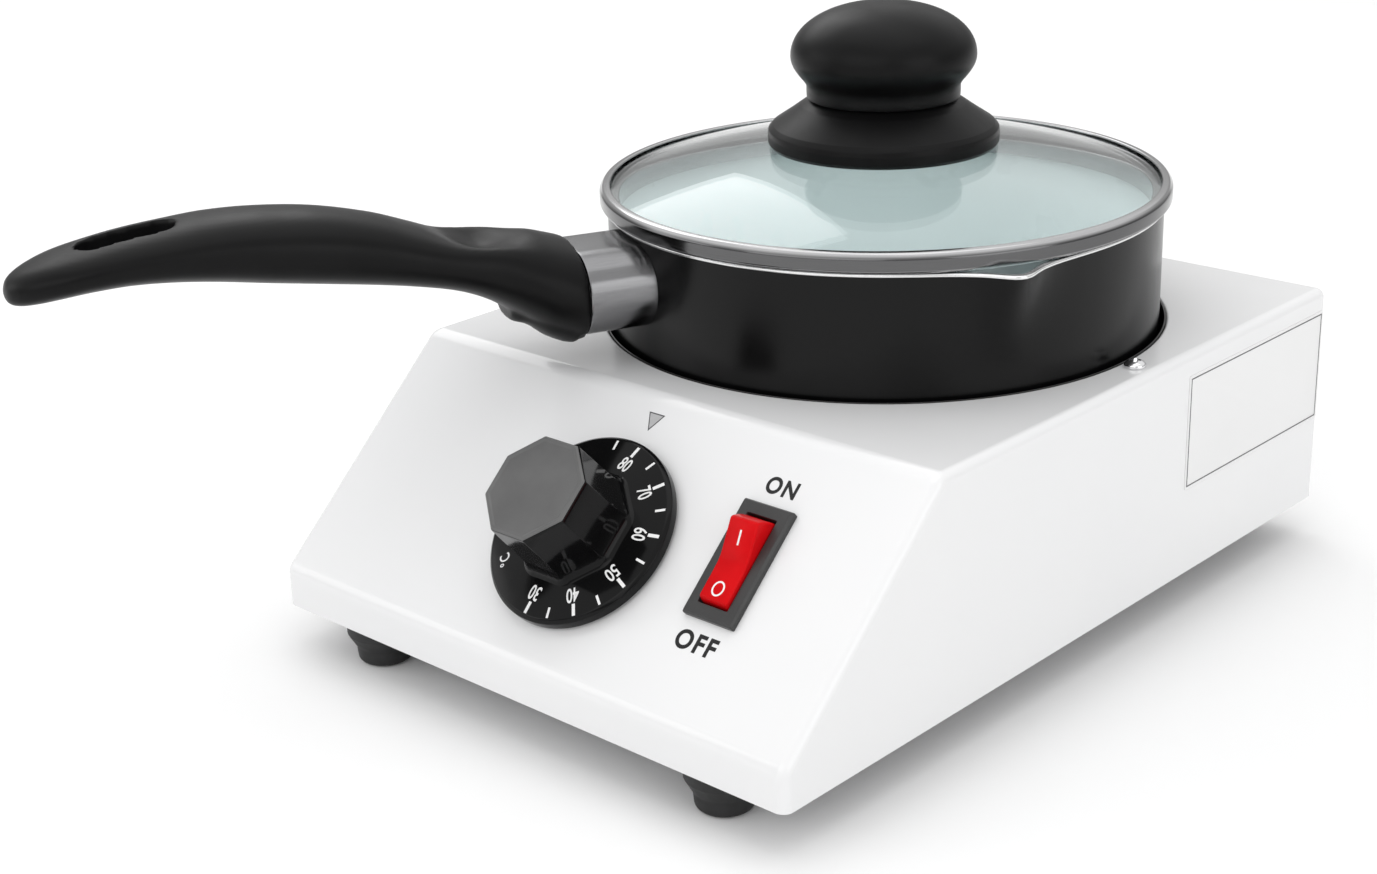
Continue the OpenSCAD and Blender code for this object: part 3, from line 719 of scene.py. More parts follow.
# ------------------------------------------------------------------ case
def make_case():
    bm = bmesh.new()
    low = ZB - 12
    prof = [(FRONT, low), (FRONT, ZL), (YF, TOP), (Y0 + HD, TOP), (Y0 + HD, low)]
    a = [bm.verts.new((X0 - HW, y, z)) for y, z in prof]
    b = [bm.verts.new((X0 + HW, y, z)) for y, z in prof]
    bm.faces.new(a)
    bm.faces.new(list(reversed(b)))
    for i in range(4):
        bm.faces.new((a[i], b[i], b[i + 1], a[i + 1]))
    bmesh.ops.recalc_face_normals(bm, faces=bm.faces)
    edges = [e for e in bm.edges if not (abs(e.verts[0].co.z - low) < 0.01 and abs(e.verts[1].co.z - low) < 0.01)]
    bmesh.ops.bevel(bm, geom=edges, offset=2.6, offset_type="OFFSET", segments=7, profile=0.5, affect="EDGES", clamp_overlap=True)
    bmesh.ops.bisect_plane(bm, geom=list(bm.verts) + list(bm.edges) + list(bm.faces), plane_co=(0, 0, ZB), plane_no=(0, 0, -1), clear_outer=True)
    for v in bm.verts:
        if abs(v.co.z - ZB) < 0.01:
            v.co.z = ZB
    o = from_bm("case", bm)
    m = o.modifiers.new("s", "SOLIDIFY")
    m.thickness, m.offset, m.use_even_offset, m.use_rim = SHEET * MM, -1, True, True
    applied(o)
    # hole with a rolled edge
    hole = [(0, TOP - 8), (HOLE_R, TOP - 8), (HOLE_R, TOP - 0.8)]
    hole += [(HOLE_R + 0.8 - 0.8 * cos(rad(t)), TOP - 0.8 + 0.8 * sin(rad(t))) for t in (15, 30, 45, 60, 75, 90)]
    hole += [(HOLE_R + 0.8, TOP + 6), (0, TOP + 6)]
    bm = lathe("c", hole, 192, finish=False)
    boolean(o, cutter_of(bm, M_PAN))
    # openings for the switch and the dial's shaft
    boolean(o, cutter_of(prism(rect(12.5, 27.7), -5, 5), M_SW))
    boolean(o, cutter_of(prism(circle_pts(5.3), -5, 5), M_DIAL))
    # gland and cooling slots in the back
    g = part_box("cable_gland")
    gx, gz = (g[0].x + g[1].x) / 2 / MM, (g[0].z + g[1].z) / 2 / MM
    back = frame_matrix(Vector((0, Y0 + HD, 0)), Vector((1, 0, 0)), Vector((0, 0, 1)), Vector((0, -1, 0)))
    cuts = [prism(circle_pts(6.3, 48, gx, gz), -5, 5)]
    for i in range(9):
        cuts.append(prism(rect(3, 18, 1.49, 6, X0 + 4 + i * 8, 40), -5, 5))
    boolean(o, cutter_of(merge(cuts), back))
    cuts = []
    for az in (0, 90, 180):
        cuts.append(prism(circle_pts(1.7, 24, PX + SCREW_R * cos(rad(az)), PY + SCREW_R * sin(rad(az))), TOP - 5, TOP + 5))
    boolean(o, cutter_of(merge(cuts)))
    # tabs for the base plate
    tabs = []
    for sx in (-1, 1):
        for sy in (-1, 1):
            t = prism(rect(18, 14, 0.8, 3, X0 + sx * (HW - SHEET - 8.95), Y0 + sy * 84), 12.45, 13.6, 0.2, 0.2)
            tabs.append(t)
    tab = from_bm("case_tabs", merge(tabs), None, 35)
    dress(tab, "coat")
    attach(tab, "base")
    weighted(o, 32)
    dress(o, "coat")
    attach(o, "base")
    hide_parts("body_shell")
    return o


wlo, whi = [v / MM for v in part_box("well_screws")]
SCREW_R = 79.0
SCREW_R = (whi.x - 2.75) - PX if abs((whi.x - 2.75) - PX - 79) < 2 else 79.0
case = make_case()


# ------------------------------------------------------------------ feet
def make_feet():
    bms = []
    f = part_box("feet")
    hx, hy = (f[1].x - f[0].x) / 2 / MM - 9.5, (f[1].y - f[0].y) / 2 / MM - 9.5
    cx, cy = (f[1].x + f[0].x) / 2 / MM, (f[1].y + f[0].y) / 2 / MM
    prof = fillet([(3.9, 5.2), (3.9, 0.0), (6.9, 0.0), (7.3, 4.2), (9.4, 7.9), (9.5, ZB - 0.02), (2.3, ZB - 0.02), (2.3, 5.2)],
                  [0.3, 0.5, 1.5, 2.5, 1.0, 0.35, 0.1, 0.1], 6)
    for sx in (-1, 1):
        for sy in (-1, 1):
            bms.append(moved(lathe("f", prof, 72, finish=False), Matrix.Translation((cx + sx * hx, cy + sy * hy, 0))))
    o = from_bm("rubber_feet", merge(bms), None, 40)
    dress(o, "rubber")
    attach(o, "base")
    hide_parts("feet")


make_feet()


# ------------------------------------------------------------------ screws with cross recesses
def screw_bm(head_r, head_h, dome, shank_r, shank_l, cross=3.4, width=0.75, depth=1.2):
    """A dished cross-head screw standing on z = 0, shank downwards. Returns an object to cut."""
    edge = head_h - dome
    prof = [(0, -shank_l), (shank_r * 0.8, -shank_l), (shank_r, -shank_l + 0.4), (shank_r, -0.02), (head_r - 0.15, -0.02), (head_r, 0.15), (head_r, edge)]
    n = 8
    for k in range(1, n + 1):
        t = math.pi / 2 * k / n
        prof.append((head_r * cos(t) if k < n else 0, edge + dome * sin(t)))
    return lathe("s", prof, 48, finish=False, closed=False)


def cross_cutter(z, cross, width, depth):
    w, c = width / 2, cross / 2
    pts = [(w, -c), (w, -w), (c, -w), (c, w), (w, w), (w, c), (-w, c), (-w, w), (-c, w), (-c, -w), (-w, -w), (-w, -c)]
    k = 0.55
    return loft_bm([[(x * k if abs(x) > w + 1e-6 else x * 0.8, y * k if abs(y) > w + 1e-6 else y * 0.8, z - depth) for x, y in pts],
                    [(x, y, z + 0.3) for x, y in pts]])


def make_well_screws():
    bms, cuts = [], []
    for az in (0, 90, 180):
        m = Matrix.Translation((PX + SCREW_R * cos(rad(az)), PY + SCREW_R * sin(rad(az)), TOP + 0.05)) @ Matrix.Rotation(rad(az + 27), 4, "Z")
        bms.append(moved(screw_bm(2.75, 1.85, 1.25, 1.5, 6.5), m))
        cuts.append(moved(cross_cutter(1.85, 3.3, 0.8, 1.15), m))
    o = from_bm("well_screw_heads", merge(bms), None, 40)
    boolean(o, cutter_of(merge(cuts)))
    shade(o.data, 32)
    dress(o, "chrome")
    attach(o, "base")
    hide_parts("well_screws")


make_well_screws()


# ------------------------------------------------------------------ heated well
def make_well():
    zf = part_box("heating_element")[1].z / MM + 1.4
    wr = 75.6
    prof = [(0, zf), (wr - 9.0, zf), (wr, zf + 9.0), (wr, TOP - SHEET - 0.35), (HOLE_R - 0.12, TOP - SHEET + 0.1), (HOLE_R - 0.16, TOP - 0.1),
            (HOLE_R - 0.62, TOP - 0.1), (HOLE_R - 0.66, TOP - SHEET - 1.2), (wr - 0.75, TOP - SHEET - 1.7)]
    # inner skin and outer skin as one closed outline
    inner = [(0, zf), (wr - 8.0, zf), (wr - 0.02, zf + 8.0), (wr - 0.02, TOP - 4.2), (HOLE_R - 0.55, TOP - 2.4), (HOLE_R - 0.55, TOP + 0.02),
             (HOLE_R - 0.1, TOP + 0.02), (HOLE_R - 0.1, TOP - SHEET - 0.03), (wr + 7.9, TOP - SHEET - 0.05), (wr + 7.9, TOP - SHEET - 1.05),
             (wr + 1.0, TOP - SHEET - 1.05), (wr + 1.0, zf + 7.6), (wr - 7.6, zf - 1.2), (0, zf - 1.2)]
    rr = [0, 6, 6, 1.5, 1.5, 0.2, 0.2, 0.02, 0.3, 0.3, 1.0, 6, 6, 0]
    prof = fillet(inner, rr, 6, closed=True)
    bms = [lathe("w", prof, 192, finish=False, closed=False)]
    o = from_bm("well", merge(bms), M_PAN, 40)
    dress(o, "well")
    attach(o, "base")
    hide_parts("heater_well")
    # the stud under it
    s = lathe("well_stud", fillet([(0, zf - 1.3), (3.4, zf - 1.3), (2.0, zf - 2.6), (2.0, zf - 16.6), (1.6, zf - 17), (0, zf - 17)], [0, 0, 0.4, 0.2, 0.1, 0], 3), 40, M_PAN, closed=False)
    dress(s, "zinc")
    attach(s, "base")


make_well()


# ------------------------------------------------------------------ dial
DIAL_R = 25.2
DIAL_H = 24.3


def skirt_h(r):
    """Height of the dial's skirt over the panel at radius r."""
    if r >= 24.3:
        return 4.3 - (r - 24.3) * 1.0
    return 4.3 + (24.3 - r) * (5.4 - 4.3) / (24.3 - 13)


def make_dial():
    prof = fillet([(0, 2.5), (18, 2.5), (18, 0.9), (DIAL_R - 0.3, 0.9), (DIAL_R, 1.3), (DIAL_R, 3.5), (24.35, 4.28), (14.5, 5.25), (12, 5.6), (0, 5.6)],
                  [0, 0.3, 0.3, 0.2, 0.3, 0.45, 0.8, 3, 1, 0], 4)
    skirt = from_bm("dial_skirt", lathe("d", prof, 160, finish=False, closed=False), M_DIAL, 40)
    # eight-sided grip, tapering a little, its foot flaring into the skirt
    def octo(r, h, rnd):
        p = [(r * cos(rad(22.5 + 45 * k)), r * sin(rad(22.5 + 45 * k))) for k in range(8)]
        return [(x, y, h) for x, y in fillet(p, rnd, 4)]
    rings = [octo(13.0, 4.4, 0.5), octo(17.0, 4.85, 6.5), octo(16.4, 5.2, 6.0), octo(15.8, 5.6, 5.0), octo(15.35, 6.1, 3.8), octo(15.0, 6.8, 2.6), octo(14.75, 7.7, 1.6), octo(14.58, 8.9, 0.9),
             octo(14.45, 10.5, 0.5), octo(14.05, DIAL_H - 1.4, 0.45),
             octo(14.0, DIAL_H - 0.75, 0.45), octo(13.9, DIAL_H - 0.4, 0.5), octo(13.65, DIAL_H - 0.12, 0.6), octo(13.3, DIAL_H, 0.7),
             octo(12.9, DIAL_H - 0.06, 0.8), octo(12.6, DIAL_H - 0.22, 0.9), octo(12.3, DIAL_H - 0.26, 1.0)]
    bm = loft_bm(rings, caps=False)
    bm.verts.ensure_lookup_table()
    n = len(rings[0])
    first = [bm.verts[i] for i in range(n)]
    last = [bm.verts[i] for i in range(len(bm.verts) - n, len(bm.verts))]
    bm.faces.new(list(reversed(first)))
    # the top is slightly dished towards its middle
    prev = last
    for t, d in ((0.75, 0.02), (0.5, 0.06), (0.25, 0.10), (0.1, 0.12)):
        ring = [bm.verts.new((v.co.x * t, v.co.y * t, DIAL_H - 0.26 - d)) for v in last]
        for k in range(n):
            q = (k + 1) % n
            bm.faces.new((prev[k], prev[q], ring[q], ring[k]))
        prev = ring
    bm.faces.new(prev)
    grip = from_bm("dial_grip", bm, M_DIAL, 38)
    dress(skirt, "dial")
    dress(grip, "dial", "dial_top")
    top = DIAL + NRM * (DIAL_H - 0.35)
    for p in grip.data.polygons:
        c = Vector(p.center) / MM
        h = (c - DIAL).dot(NRM)
        r = ((c - DIAL) - NRM * h).length
        if h > DIAL_H - 0.62 and p.normal.dot(NRM) > 0.35:
            p.material_index = 1
    weighted(grip, 38)
    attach(skirt, "dial")
    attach(grip, "dial")
    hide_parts("dial_knob")

    # scale: bars and figures that follow the skirt
    marks = []
    def bar(angle, r0, r1, w):
        n = 6
        pts = []
        for i in range(n + 1):
            r = r0 + (r1 - r0) * i / n
            pts.append((r, w / 2))
        rings = []
        bm = bmesh.new()
        lo, hi = [], []
        for r, w2 in pts:
            z = skirt_h(r)
            lo.append([bm.verts.new((r, -w2, z - 0.05)), bm.verts.new((r, w2, z - 0.05)), bm.verts.new((r, w2, z + 0.035)), bm.verts.new((r, -w2, z + 0.035))])
        for a, b in zip(lo, lo[1:]):
            for k in range(4):
                q = (k + 1) % 4
                bm.faces.new((a[k], a[q], b[q], b[k]))
        bm.faces.new(list(reversed(lo[0])))
        bm.faces.new(lo[-1])
        return moved(bm, Matrix.Rotation(rad(angle), 4, "Z"))
    majors = {80: 79.6, 70: 45.0, 60: 10.4, 50: -23.9, 40: -58.0, 30: -92.5}
    minors = [96.7, 62.5, 27.5, -6.9, -41.0, -75.9]
    for a in majors.values():
        marks.append(bar(a, 21.0, 24.0, 0.85))
    for a in minors:
        marks.append(bar(a, 21.3, 23.9, 0.62))
    def figure(text, angle, r, height, squash, bold):
        bm = text_mesh(text, height, squash, bold=bold)
        bmesh.ops.triangulate(bm, faces=bm.faces)
        bmesh.ops.subdivide_edges(bm, edges=[e for e in bm.edges if e.calc_length() > 0.8], cuts=1)
        thicken(bm, 0.07)
        # figure's up is outwards
        m = Matrix.Rotation(rad(angle), 4, "Z") @ Matrix.Translation((r, 0, 0)) @ Matrix.Rotation(rad(-90), 4, "Z")
        moved(bm, m)
        for v in bm.verts:
            v.co.z += skirt_h(math.hypot(v.co.x, v.co.y)) - 0.03
        return bm
    for k, a in majors.items():
        marks.append(figure(str(k), a - 0.5, 18.75, 3.7, 0.68, 0.013))
    marks.append(figure("°C", -137.5, 20.4, 3.0, 0.78, 0.008))
    o = from_bm("dial_scale", merge(marks), M_DIAL, 30)
    dress(o, "white_ink")
    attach(o, "dial")


make_dial()


# ------------------------------------------------------------------ printed marks on the panel
def decal(name, bm, matrix, key, body="base", t=0.04):
    bmesh.ops.triangulate(bm, faces=bm.faces)
    thicken(bm, t)
    o = from_bm(name, bm, matrix @ Matrix.Translation((0, 0, 0.01)), 30)
    dress(o, key)
    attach(o, body)
    return o


def poly_bm(pts):
    bm = bmesh.new()
    bm.faces.new([bm.verts.new((x, y, 0)) for x, y in pts])
    return bm


def make_prints():
    def at(x, s):
        return frame_matrix(slope(x, s, 0), EX, ES, NRM)
    decal("mark_on", text_mesh("ON", 4.3, 0.93, bold=0.030, spacing=1.18), at(47.0, 61.0), "black_ink")
    decal("mark_off", text_mesh("OFF", 4.7, 0.95, bold=0.030, spacing=1.18), at(47.0, 19.7), "black_ink")
    # pointer: a grey triangle with a darker outline
    tri = [(-2.6, 69.7), (2.6, 69.7), (0, 64.7)]
    c = Vector((0, sum(p[1] for p in tri) / 3))
    outer = [tuple(c + (Vector(p) - c) * 1.0) for p in tri]
    inner = [tuple(c + (Vector(p) - c) * 0.80) for p in tri]
    o = lambda pts: [(x, y - S_DIAL) for x, y in pts]
    decal("pointer_outline", poly_bm(list(reversed(o(outer)))), frame_matrix(slope(DX, S_DIAL, 0), EX, ES, NRM), "line_ink", t=0.02)
    decal("pointer_fill", poly_bm(list(reversed(o(inner)))), frame_matrix(slope(DX, S_DIAL, 0), EX, ES, NRM), "grey_ink", t=0.045)


make_prints()


# ------------------------------------------------------------------ rocker switch
def make_switch():
    # housing, bezel frame and open pocket as one closed skin
    def flat(w, h, r, z):
        return [(x, y, z) for x, y in rect(w, h, r, 4)]
    steps = [(12.0, 27.2, 0.4, -21.5), (12.2, 27.4, 0.5, -21.4), (12.2, 27.4, 0.5, 0.05), (14.9, 30.4, 0.35, 0.05), (15.0, 30.5, 0.4, 0.12),
             (15.0, 30.5, 0.4, 1.25), (14.92, 30.42, 0.4, 1.42), (14.1, 29.6, 0.35, 1.98), (13.9, 29.4, 0.3, 2.05),
             (9.3, 24.2, 0.45, 2.05), (9.1, 24.0, 0.4, 2.0), (8.95, 23.85, 0.35, 1.88), (8.9, 23.8, 0.35, 1.7), (8.9, 23.8, 0.35, -9.2)]
    bez = from_bm("switch_bezel", loft_bm([flat(*k) for k in steps]), M_SW, 35)
    weighted(bez, 35)
    dress(bez, "bezel")
    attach(bez, "base")
    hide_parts("switch_housing")

    tilt = rad(11.7)
    t = math.tan(tilt)
    R = 11.55
    w = 8.4
    # side outline of the rocker: two faces meeting in a soft valley, round ends
    pts = []
    xe = R * cos(tilt + 0.0) * 0.985
    def face_z(x):
        return 4.2 + abs(x) * t
    xs = [-10.15, -9, -7, -5, -3, -1.6, -0.8, 0, 0.8, 1.6, 3, 5, 7, 9, 10.15]
    soft = []
    for x in xs:
        z = 4.2 + math.sqrt((x * t) ** 2 + 0.10)
        soft.append((x, z))
    def arc(a0, a1, n):
        return [(R * sin(a0 + (a1 - a0) * i / n), R * cos(a0 + (a1 - a0) * i / n)) for i in range(n + 1)]
    # where the face meets the end arc
    x = 11.0
    for _ in range(40):
        z = 4.2 + x * t
        x = math.sqrt(max(0.1, R * R - z * z))
    a_end = math.atan2(x, 4.2 + x * t)
    right = arc(a_end, rad(100), 7)
    outline = [(-x, 4.2 + x * t)] + [p for p in soft if abs(p[0]) < x - 0.9] + right
    outline += [(5, -6), (-5, -6)] + [(-px, pz) for px, pz in reversed(right)][:-1]
    outline = fillet(outline, [1.0 if i == 0 else (1.0 if abs(p[0] - x) < 0.01 else 0.0) for i, p in enumerate(outline)], 5)
    # outline is in (s, h); extrude along x with rounded side edges
    def ring(off, shrink):
        c = Vector((0, 2.0))
        out = []
        m = len(outline)
        for i in range(m):
            p = Vector(outline[i])
            a, b = Vector(outline[i - 1]), Vector(outline[(i + 1) % m])
            d = (b - a)
            nn = Vector((-d.y, d.x)).normalized() if d.length > 1e-9 else Vector((0, 0))
            out.append((off, p.x + nn.x * -shrink * SIGN, p.y + nn.y * -shrink * SIGN))
        return out
    area = sum(outline[i - 1][0] * outline[i][1] - outline[i][0] * outline[i - 1][1] for i in range(len(outline)))
    SIGN = -1 if area > 0 else 1
    rnd = 0.55
    # quarter round both sides
    rings = []
    for k in range(6):
        a = math.pi / 2 * k / 5
        rings.append(ring(-w / 2 + rnd - rnd * cos(a), rnd - rnd * sin(a)))
    for k in range(6):
        a = math.pi / 2 * (5 - k) / 5
        rings.append(ring(w / 2 - rnd + rnd * cos(a), rnd - rnd * sin(a)))
    bm = loft_bm(rings)
    m = frame_matrix(PIV, EX, ES, NRM) @ Matrix.Rotation(tilt, 4, "X")
    o = from_bm("rocker", bm, m, 40)
    dress(o, "red")
    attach(o, "rocker")
    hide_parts("switch_rocker")

    # I and O on the two faces
    up_m = m @ Matrix.Translation((0, 5.6, 4.2 + 5.6 * t + 0.02)) @ Matrix.Rotation(tilt, 4, "X")
    lo_m = m @ Matrix.Translation((0, -6.9, 4.2 + 6.9 * t + 0.02)) @ Matrix.Rotation(-tilt, 4, "X")
    one = decal("mark_one", poly_bm(rect(0.5, 3.6, 0.12, 3)), up_m, "white_ink", "rocker", 0.05)
    ring_bm = bmesh.new()
    a = [ring_bm.verts.new((1.25 * cos(2 * math.pi * k / 40), 1.5 * sin(2 * math.pi * k / 40), 0)) for k in range(40)]
    b = [ring_bm.verts.new((1.68 * cos(2 * math.pi * k / 40), 1.93 * sin(2 * math.pi * k / 40), 0)) for k in range(40)]
    for k in range(40):
        q = (k + 1) % 40
        ring_bm.faces.new((a[k], b[k], b[q], a[q]))
    decal("mark_zero", ring_bm, lo_m, "white_ink", "rocker", 0.05)


make_switch()


# ------------------------------------------------------------------ gland
def make_gland():
    lo, hi = [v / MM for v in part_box("cable_gland")]
    gx, gz = (lo.x + hi.x) / 2, (lo.z + hi.z) / 2
    m = frame_matrix(Vector((gx, Y0 + HD, gz)), Vector((-1, 0, 0)), Vector((0, 0, 1)), Vector((0, 1, 0)))
    prof = fillet([(3.6, -11.2), (6.1, -11.2), (6.1, 0.05), (9, 0.05), (9, 3.0), (7.9, 3.0), (7.5, 3.4), (6.2, 12.0), (3.6, 12.0)],
                  [0.2, 0.4, 0.05, 0.3, 0.6, 0.3, 0.4, 1.2, 0.4], 4)
    o = from_bm("lead_gland", lathe("g", prof, 72, finish=False), m, 38)
    # strain relief ribs
    cuts = []
    for k in range(3):
        z = 5.2 + k * 2.2
        for s in (0, 180):
            bm = prism(rect(8.5, 0.9, 0.3, 2), 4.9, 9)
            cuts.append(moved(bm, Matrix.Rotation(rad(s), 4, "Z") @ frame_matrix(Vector((0, 0, z)), Vector((0, 1, 0)), Vector((0, 0, 1)), Vector((1, 0, 0)))))
    boolean(o, cutter_of(merge(cuts), m))
    shade(o.data, 35)
    dress(o, "housing")
    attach(o, "base")
    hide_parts("cable_gland")


make_gland()


# ------------------------------------------------------------------ blank side label
def make_label():
    lo, hi = [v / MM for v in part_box("side_label")]
    cy, cz = (lo.y + hi.y) / 2, (lo.z + hi.z) / 2
    w, h = hi.y - lo.y, hi.z - lo.z
    m = frame_matrix(Vector((X0 + HW + 0.02, cy, cz)), Vector((0, 1, 0)), Vector((0, 0, 1)), Vector((1, 0, 0)))
    o = from_bm("label", prism(rect(w, h, 0.6, 4), 0, 0.18, 0.05), m, 35)
    dress(o, "label")
    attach(o, "base")
    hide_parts("side_label")
    def frame_strip(x0, y0, x1, y1, t):
        a = [(x0, y0), (x1, y0), (x1, y1), (x0, y1)]
        b = [(x0 + t, y0 + t), (x1 - t, y0 + t), (x1 - t, y1 - t), (x0 + t, y1 - t)]
        bm = bmesh.new()
        va, vb = [bm.verts.new((*p, 0)) for p in a], [bm.verts.new((*p, 0)) for p in b]
        for k in range(4):
            q = (k + 1) % 4
            bm.faces.new((va[k], va[q], vb[q], vb[k]))
        return bm
    e = 0.7
    parts = [frame_strip(-w / 2 + e, -h / 2 + e, w / 2 - e, h / 2 - e, 0.35)]
    decal("label_border", merge(parts), m @ Matrix.Translation((0, 0, 0.175)), "line_ink", t=0.03)


make_label()


# ------------------------------------------------------------------ pan
SP_AZ = -28.5
SP = [(0, 8.9), (1.2, 8.5), (2.4, 7.4), (4, 5.6), (6, 3.8), (9, 2.2), (12, 1.25), (15, 0.7), (20, 0.25), (26, 0.05), (30, 0.0)]


def spout(theta):
    d = abs((math.degrees(theta) - SP_AZ + 180) % 360 - 180)
    if d >= 30:
        return 0.0
    for (a, va), (b, vb) in zip(SP, SP[1:]):
        if d <= b:
            t = (d - a) / (b - a)
            return va + (vb - va) * t
    return 0.0


def spout_smooth(theta):
    return sum(spout(theta + rad(k * 0.5)) * w for k, w in ((-2, 1), (-1, 2), (0, 3), (1, 2), (2, 1))) / 9


def lip_w(z):
    """How much of the spout shows at height z: the lip starts 26 mm under the rim."""
    t = max(0.0, min(1.0, (z - (RIM_Z - 27)) / 27))
    return t * t * (1.35 - 0.35 * t)


def make_pan():
    zt = RIM_Z - 0.75
    wall = 1.6
    outer = fillet([(0, PAN_Z), (PAN_R, PAN_Z), (PAN_R, zt)], [0, 15, 0], 14, closed=False)
    # more rings up the straight wall, the same on the inside
    outer_pts = []
    for r, z in outer:
        outer_pts.append((r, z))
    zs = [PAN_Z + 15 + (zt - PAN_Z - 15) * i / 26 for i in range(1, 26)]
    outer_pts = outer_pts[:-1] + [(PAN_R, z) for z in zs] + [(PAN_R, zt)]
    inner = fillet([(0, PAN_Z + 2.4), (PAN_R - wall, PAN_Z + 2.4), (PAN_R - wall, zt)], [0, 13.4, 0], 14, closed=False)
    inner_pts = inner[:-1] + [(PAN_R - wall, z) for z in zs] + [(PAN_R - wall, zt)]
    seg = 360
    bm = bmesh.new()
    def ring(r, z, w):
        if r < 1e-4:
            return [bm.verts.new((0, 0, z))]
        out = []
        for k in range(seg):
            th = 2 * math.pi * k / seg
            rr = r + w * spout_smooth(th)
            out.append(bm.verts.new((rr * cos(th), rr * sin(th), z)))
        return out
    def strip(pts):
        rings = [ring(r, z, lip_w(z) if r > 60 else 0.0) for r, z in pts]
        faces = []
        for a, b in zip(rings, rings[1:]):
            for k in range(seg):
                q = (k + 1) % seg
                if len(a) == 1:
                    faces.append(bm.faces.new((a[0], b[k], b[q])))
                else:
                    faces.append(bm.faces.new((a[k], b[k], b[q], a[q])))
        return rings, faces
    ro, fo = strip(outer_pts)
    ri, fi = strip(inner_pts)
    for k in range(seg):
        q = (k + 1) % seg
        bm.faces.new((ro[-1][k], ri[-1][k], ri[-1][q], ro[-1][q]))
    for f in fi:
        f.material_index = 1
    pan = from_bm("pan", bm, M_PAN, 40)
    dress(pan, "pan", "pan_in")
    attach(pan, "pot")
    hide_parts("pot_shell")

    # bare metal rim
    sec = fillet([(PAN_R - wall - 0.25, zt - 0.15), (PAN_R + 0.45, zt - 0.15), (PAN_R + 0.45, RIM_Z), (PAN_R - wall - 0.25, RIM_Z)], [0.2, 0.3, 0.42, 0.38], 4)
    bm = bmesh.new()
    rings = []
    for r, z in sec:
        rings.append([bm.verts.new(((r + spout_smooth(2 * math.pi * k / seg)) * cos(2 * math.pi * k / seg),
                                    (r + spout_smooth(2 * math.pi * k / seg)) * sin(2 * math.pi * k / seg), z)) for k in range(seg)])
    m = len(rings)
    for i in range(m):
        a, b = rings[i], rings[(i + 1) % m]
        for k in range(seg):
            q = (k + 1) % seg
            bm.faces.new((a[k], b[k], b[q], a[q]))
    rim = from_bm("pan_rim", bm, M_PAN, 50)
    dress(rim, "rim")
    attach(rim, "pot")


make_pan()


# ------------------------------------------------------------------ ferrule
def oval(w, h, rt, rb, n=8):
    return fillet([(-w / 2, -h / 2), (w / 2, -h / 2), (w / 2, h / 2), (-w / 2, h / 2)], [rb, rb, rt, rt], n)


def make_ferrule():
    rings = []
    def ring(rho, w, h, rt, rb):
        return [(rho, x, HZ + 1.1 + z) for x, z in oval(w, h, rt, rb)]
    end = 89.0
    stations = [(62, 33.0, 21.4), (70, 33.0, 21.4), (80, 33.0, 21.4), (end - 0.6, 33.0, 21.4), (end - 0.15, 32.8, 21.2), (end, 32.2, 20.6)]
    out = [ring(r, w, h, 9.8, 9.8) for r, w, h in stations]
    inn = [ring(r, 30.6, 19.0, 8.8, 8.8) for r in (end, 75, 62)]
    rings = out + inn
    bm = bmesh.new()
    vs = [[bm.verts.new(p) for p in r] for r in rings]
    n = len(vs[0])
    for i in range(len(vs)):
        a, b = vs[i], vs[(i + 1) % len(vs)]
        for k in range(n):
            q = (k + 1) % n
            bm.faces.new((a[k], a[q], b[q], b[k]))
    o = from_bm("ferrule", bm, M_HAN, 35)
    c = lathe("c", [(0, 60), (PAN_R + 0.12, 60), (PAN_R + 0.12, RIM_Z - 2.3), (PAN_R + 0.75, RIM_Z - 2.3), (PAN_R + 0.75, 130), (0, 130)], 192, finish=False, closed=False)
    boolean(o, cutter_of(c, M_PAN))
    shade(o.data, 35)
    weighted(o, 35)
    dress(o, "ferrule")
    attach(o, "pot")
    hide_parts("handle_ferrule")


make_ferrule()


# ------------------------------------------------------------------ grip
GRIP = [[89.2, 90.9, 17.6, 12.7], [91, 91.3, 18, 13], [94, 92.4, 18.1, 12.9], [98, 94, 17.8, 12.6],
        [102, 96, 17.1, 11.2], [107, 98.2, 16.1, 9.5], [113, 100.4, 15.1, 7.8], [120, 102.6, 14.5, 7],
        [128, 105, 14.1, 7.4], [138, 107.8, 14, 8.3], [152, 110.7, 14.2, 8.9], [166, 112.7, 14.4, 8.6],
        [178, 113.9, 14.2, 7.7], [188, 114.2, 14, 6.6], [198, 114, 13.6, 5.7], [207, 113.1, 13, 5.1],
        [214, 112, 11.8, 4.8], [219, 110.9, 9.8, 4.4], [223, 109.9, 7, 3.7], [225.4, 109.3, 3.8, 2.5], [226.2, 109.1, 1.2, 0.8]]


def grip_at(rho):
    """Station of the grip at a distance along it, by a smooth curve through the table."""
    for i in range(len(GRIP) - 1):
        if rho <= GRIP[i + 1][0] or i == len(GRIP) - 2:
            break
    p0, p1, p2, p3 = GRIP[max(0, i - 1)], GRIP[i], GRIP[i + 1], GRIP[min(len(GRIP) - 1, i + 2)]
    t = (rho - p1[0]) / (p2[0] - p1[0])
    out = []
    for c in (1, 2, 3):
        m1 = (p2[c] - p0[c]) / (p2[0] - p0[0])
        m2 = (p3[c] - p1[c]) / (p3[0] - p1[0])
        h = p2[0] - p1[0]
        out.append((2 * t ** 3 - 3 * t ** 2 + 1) * p1[c] + (t ** 3 - 2 * t ** 2 + t) * h * m1 + (-2 * t ** 3 + 3 * t ** 2) * p2[c] + (t ** 3 - t ** 2) * h * m2)
    return out


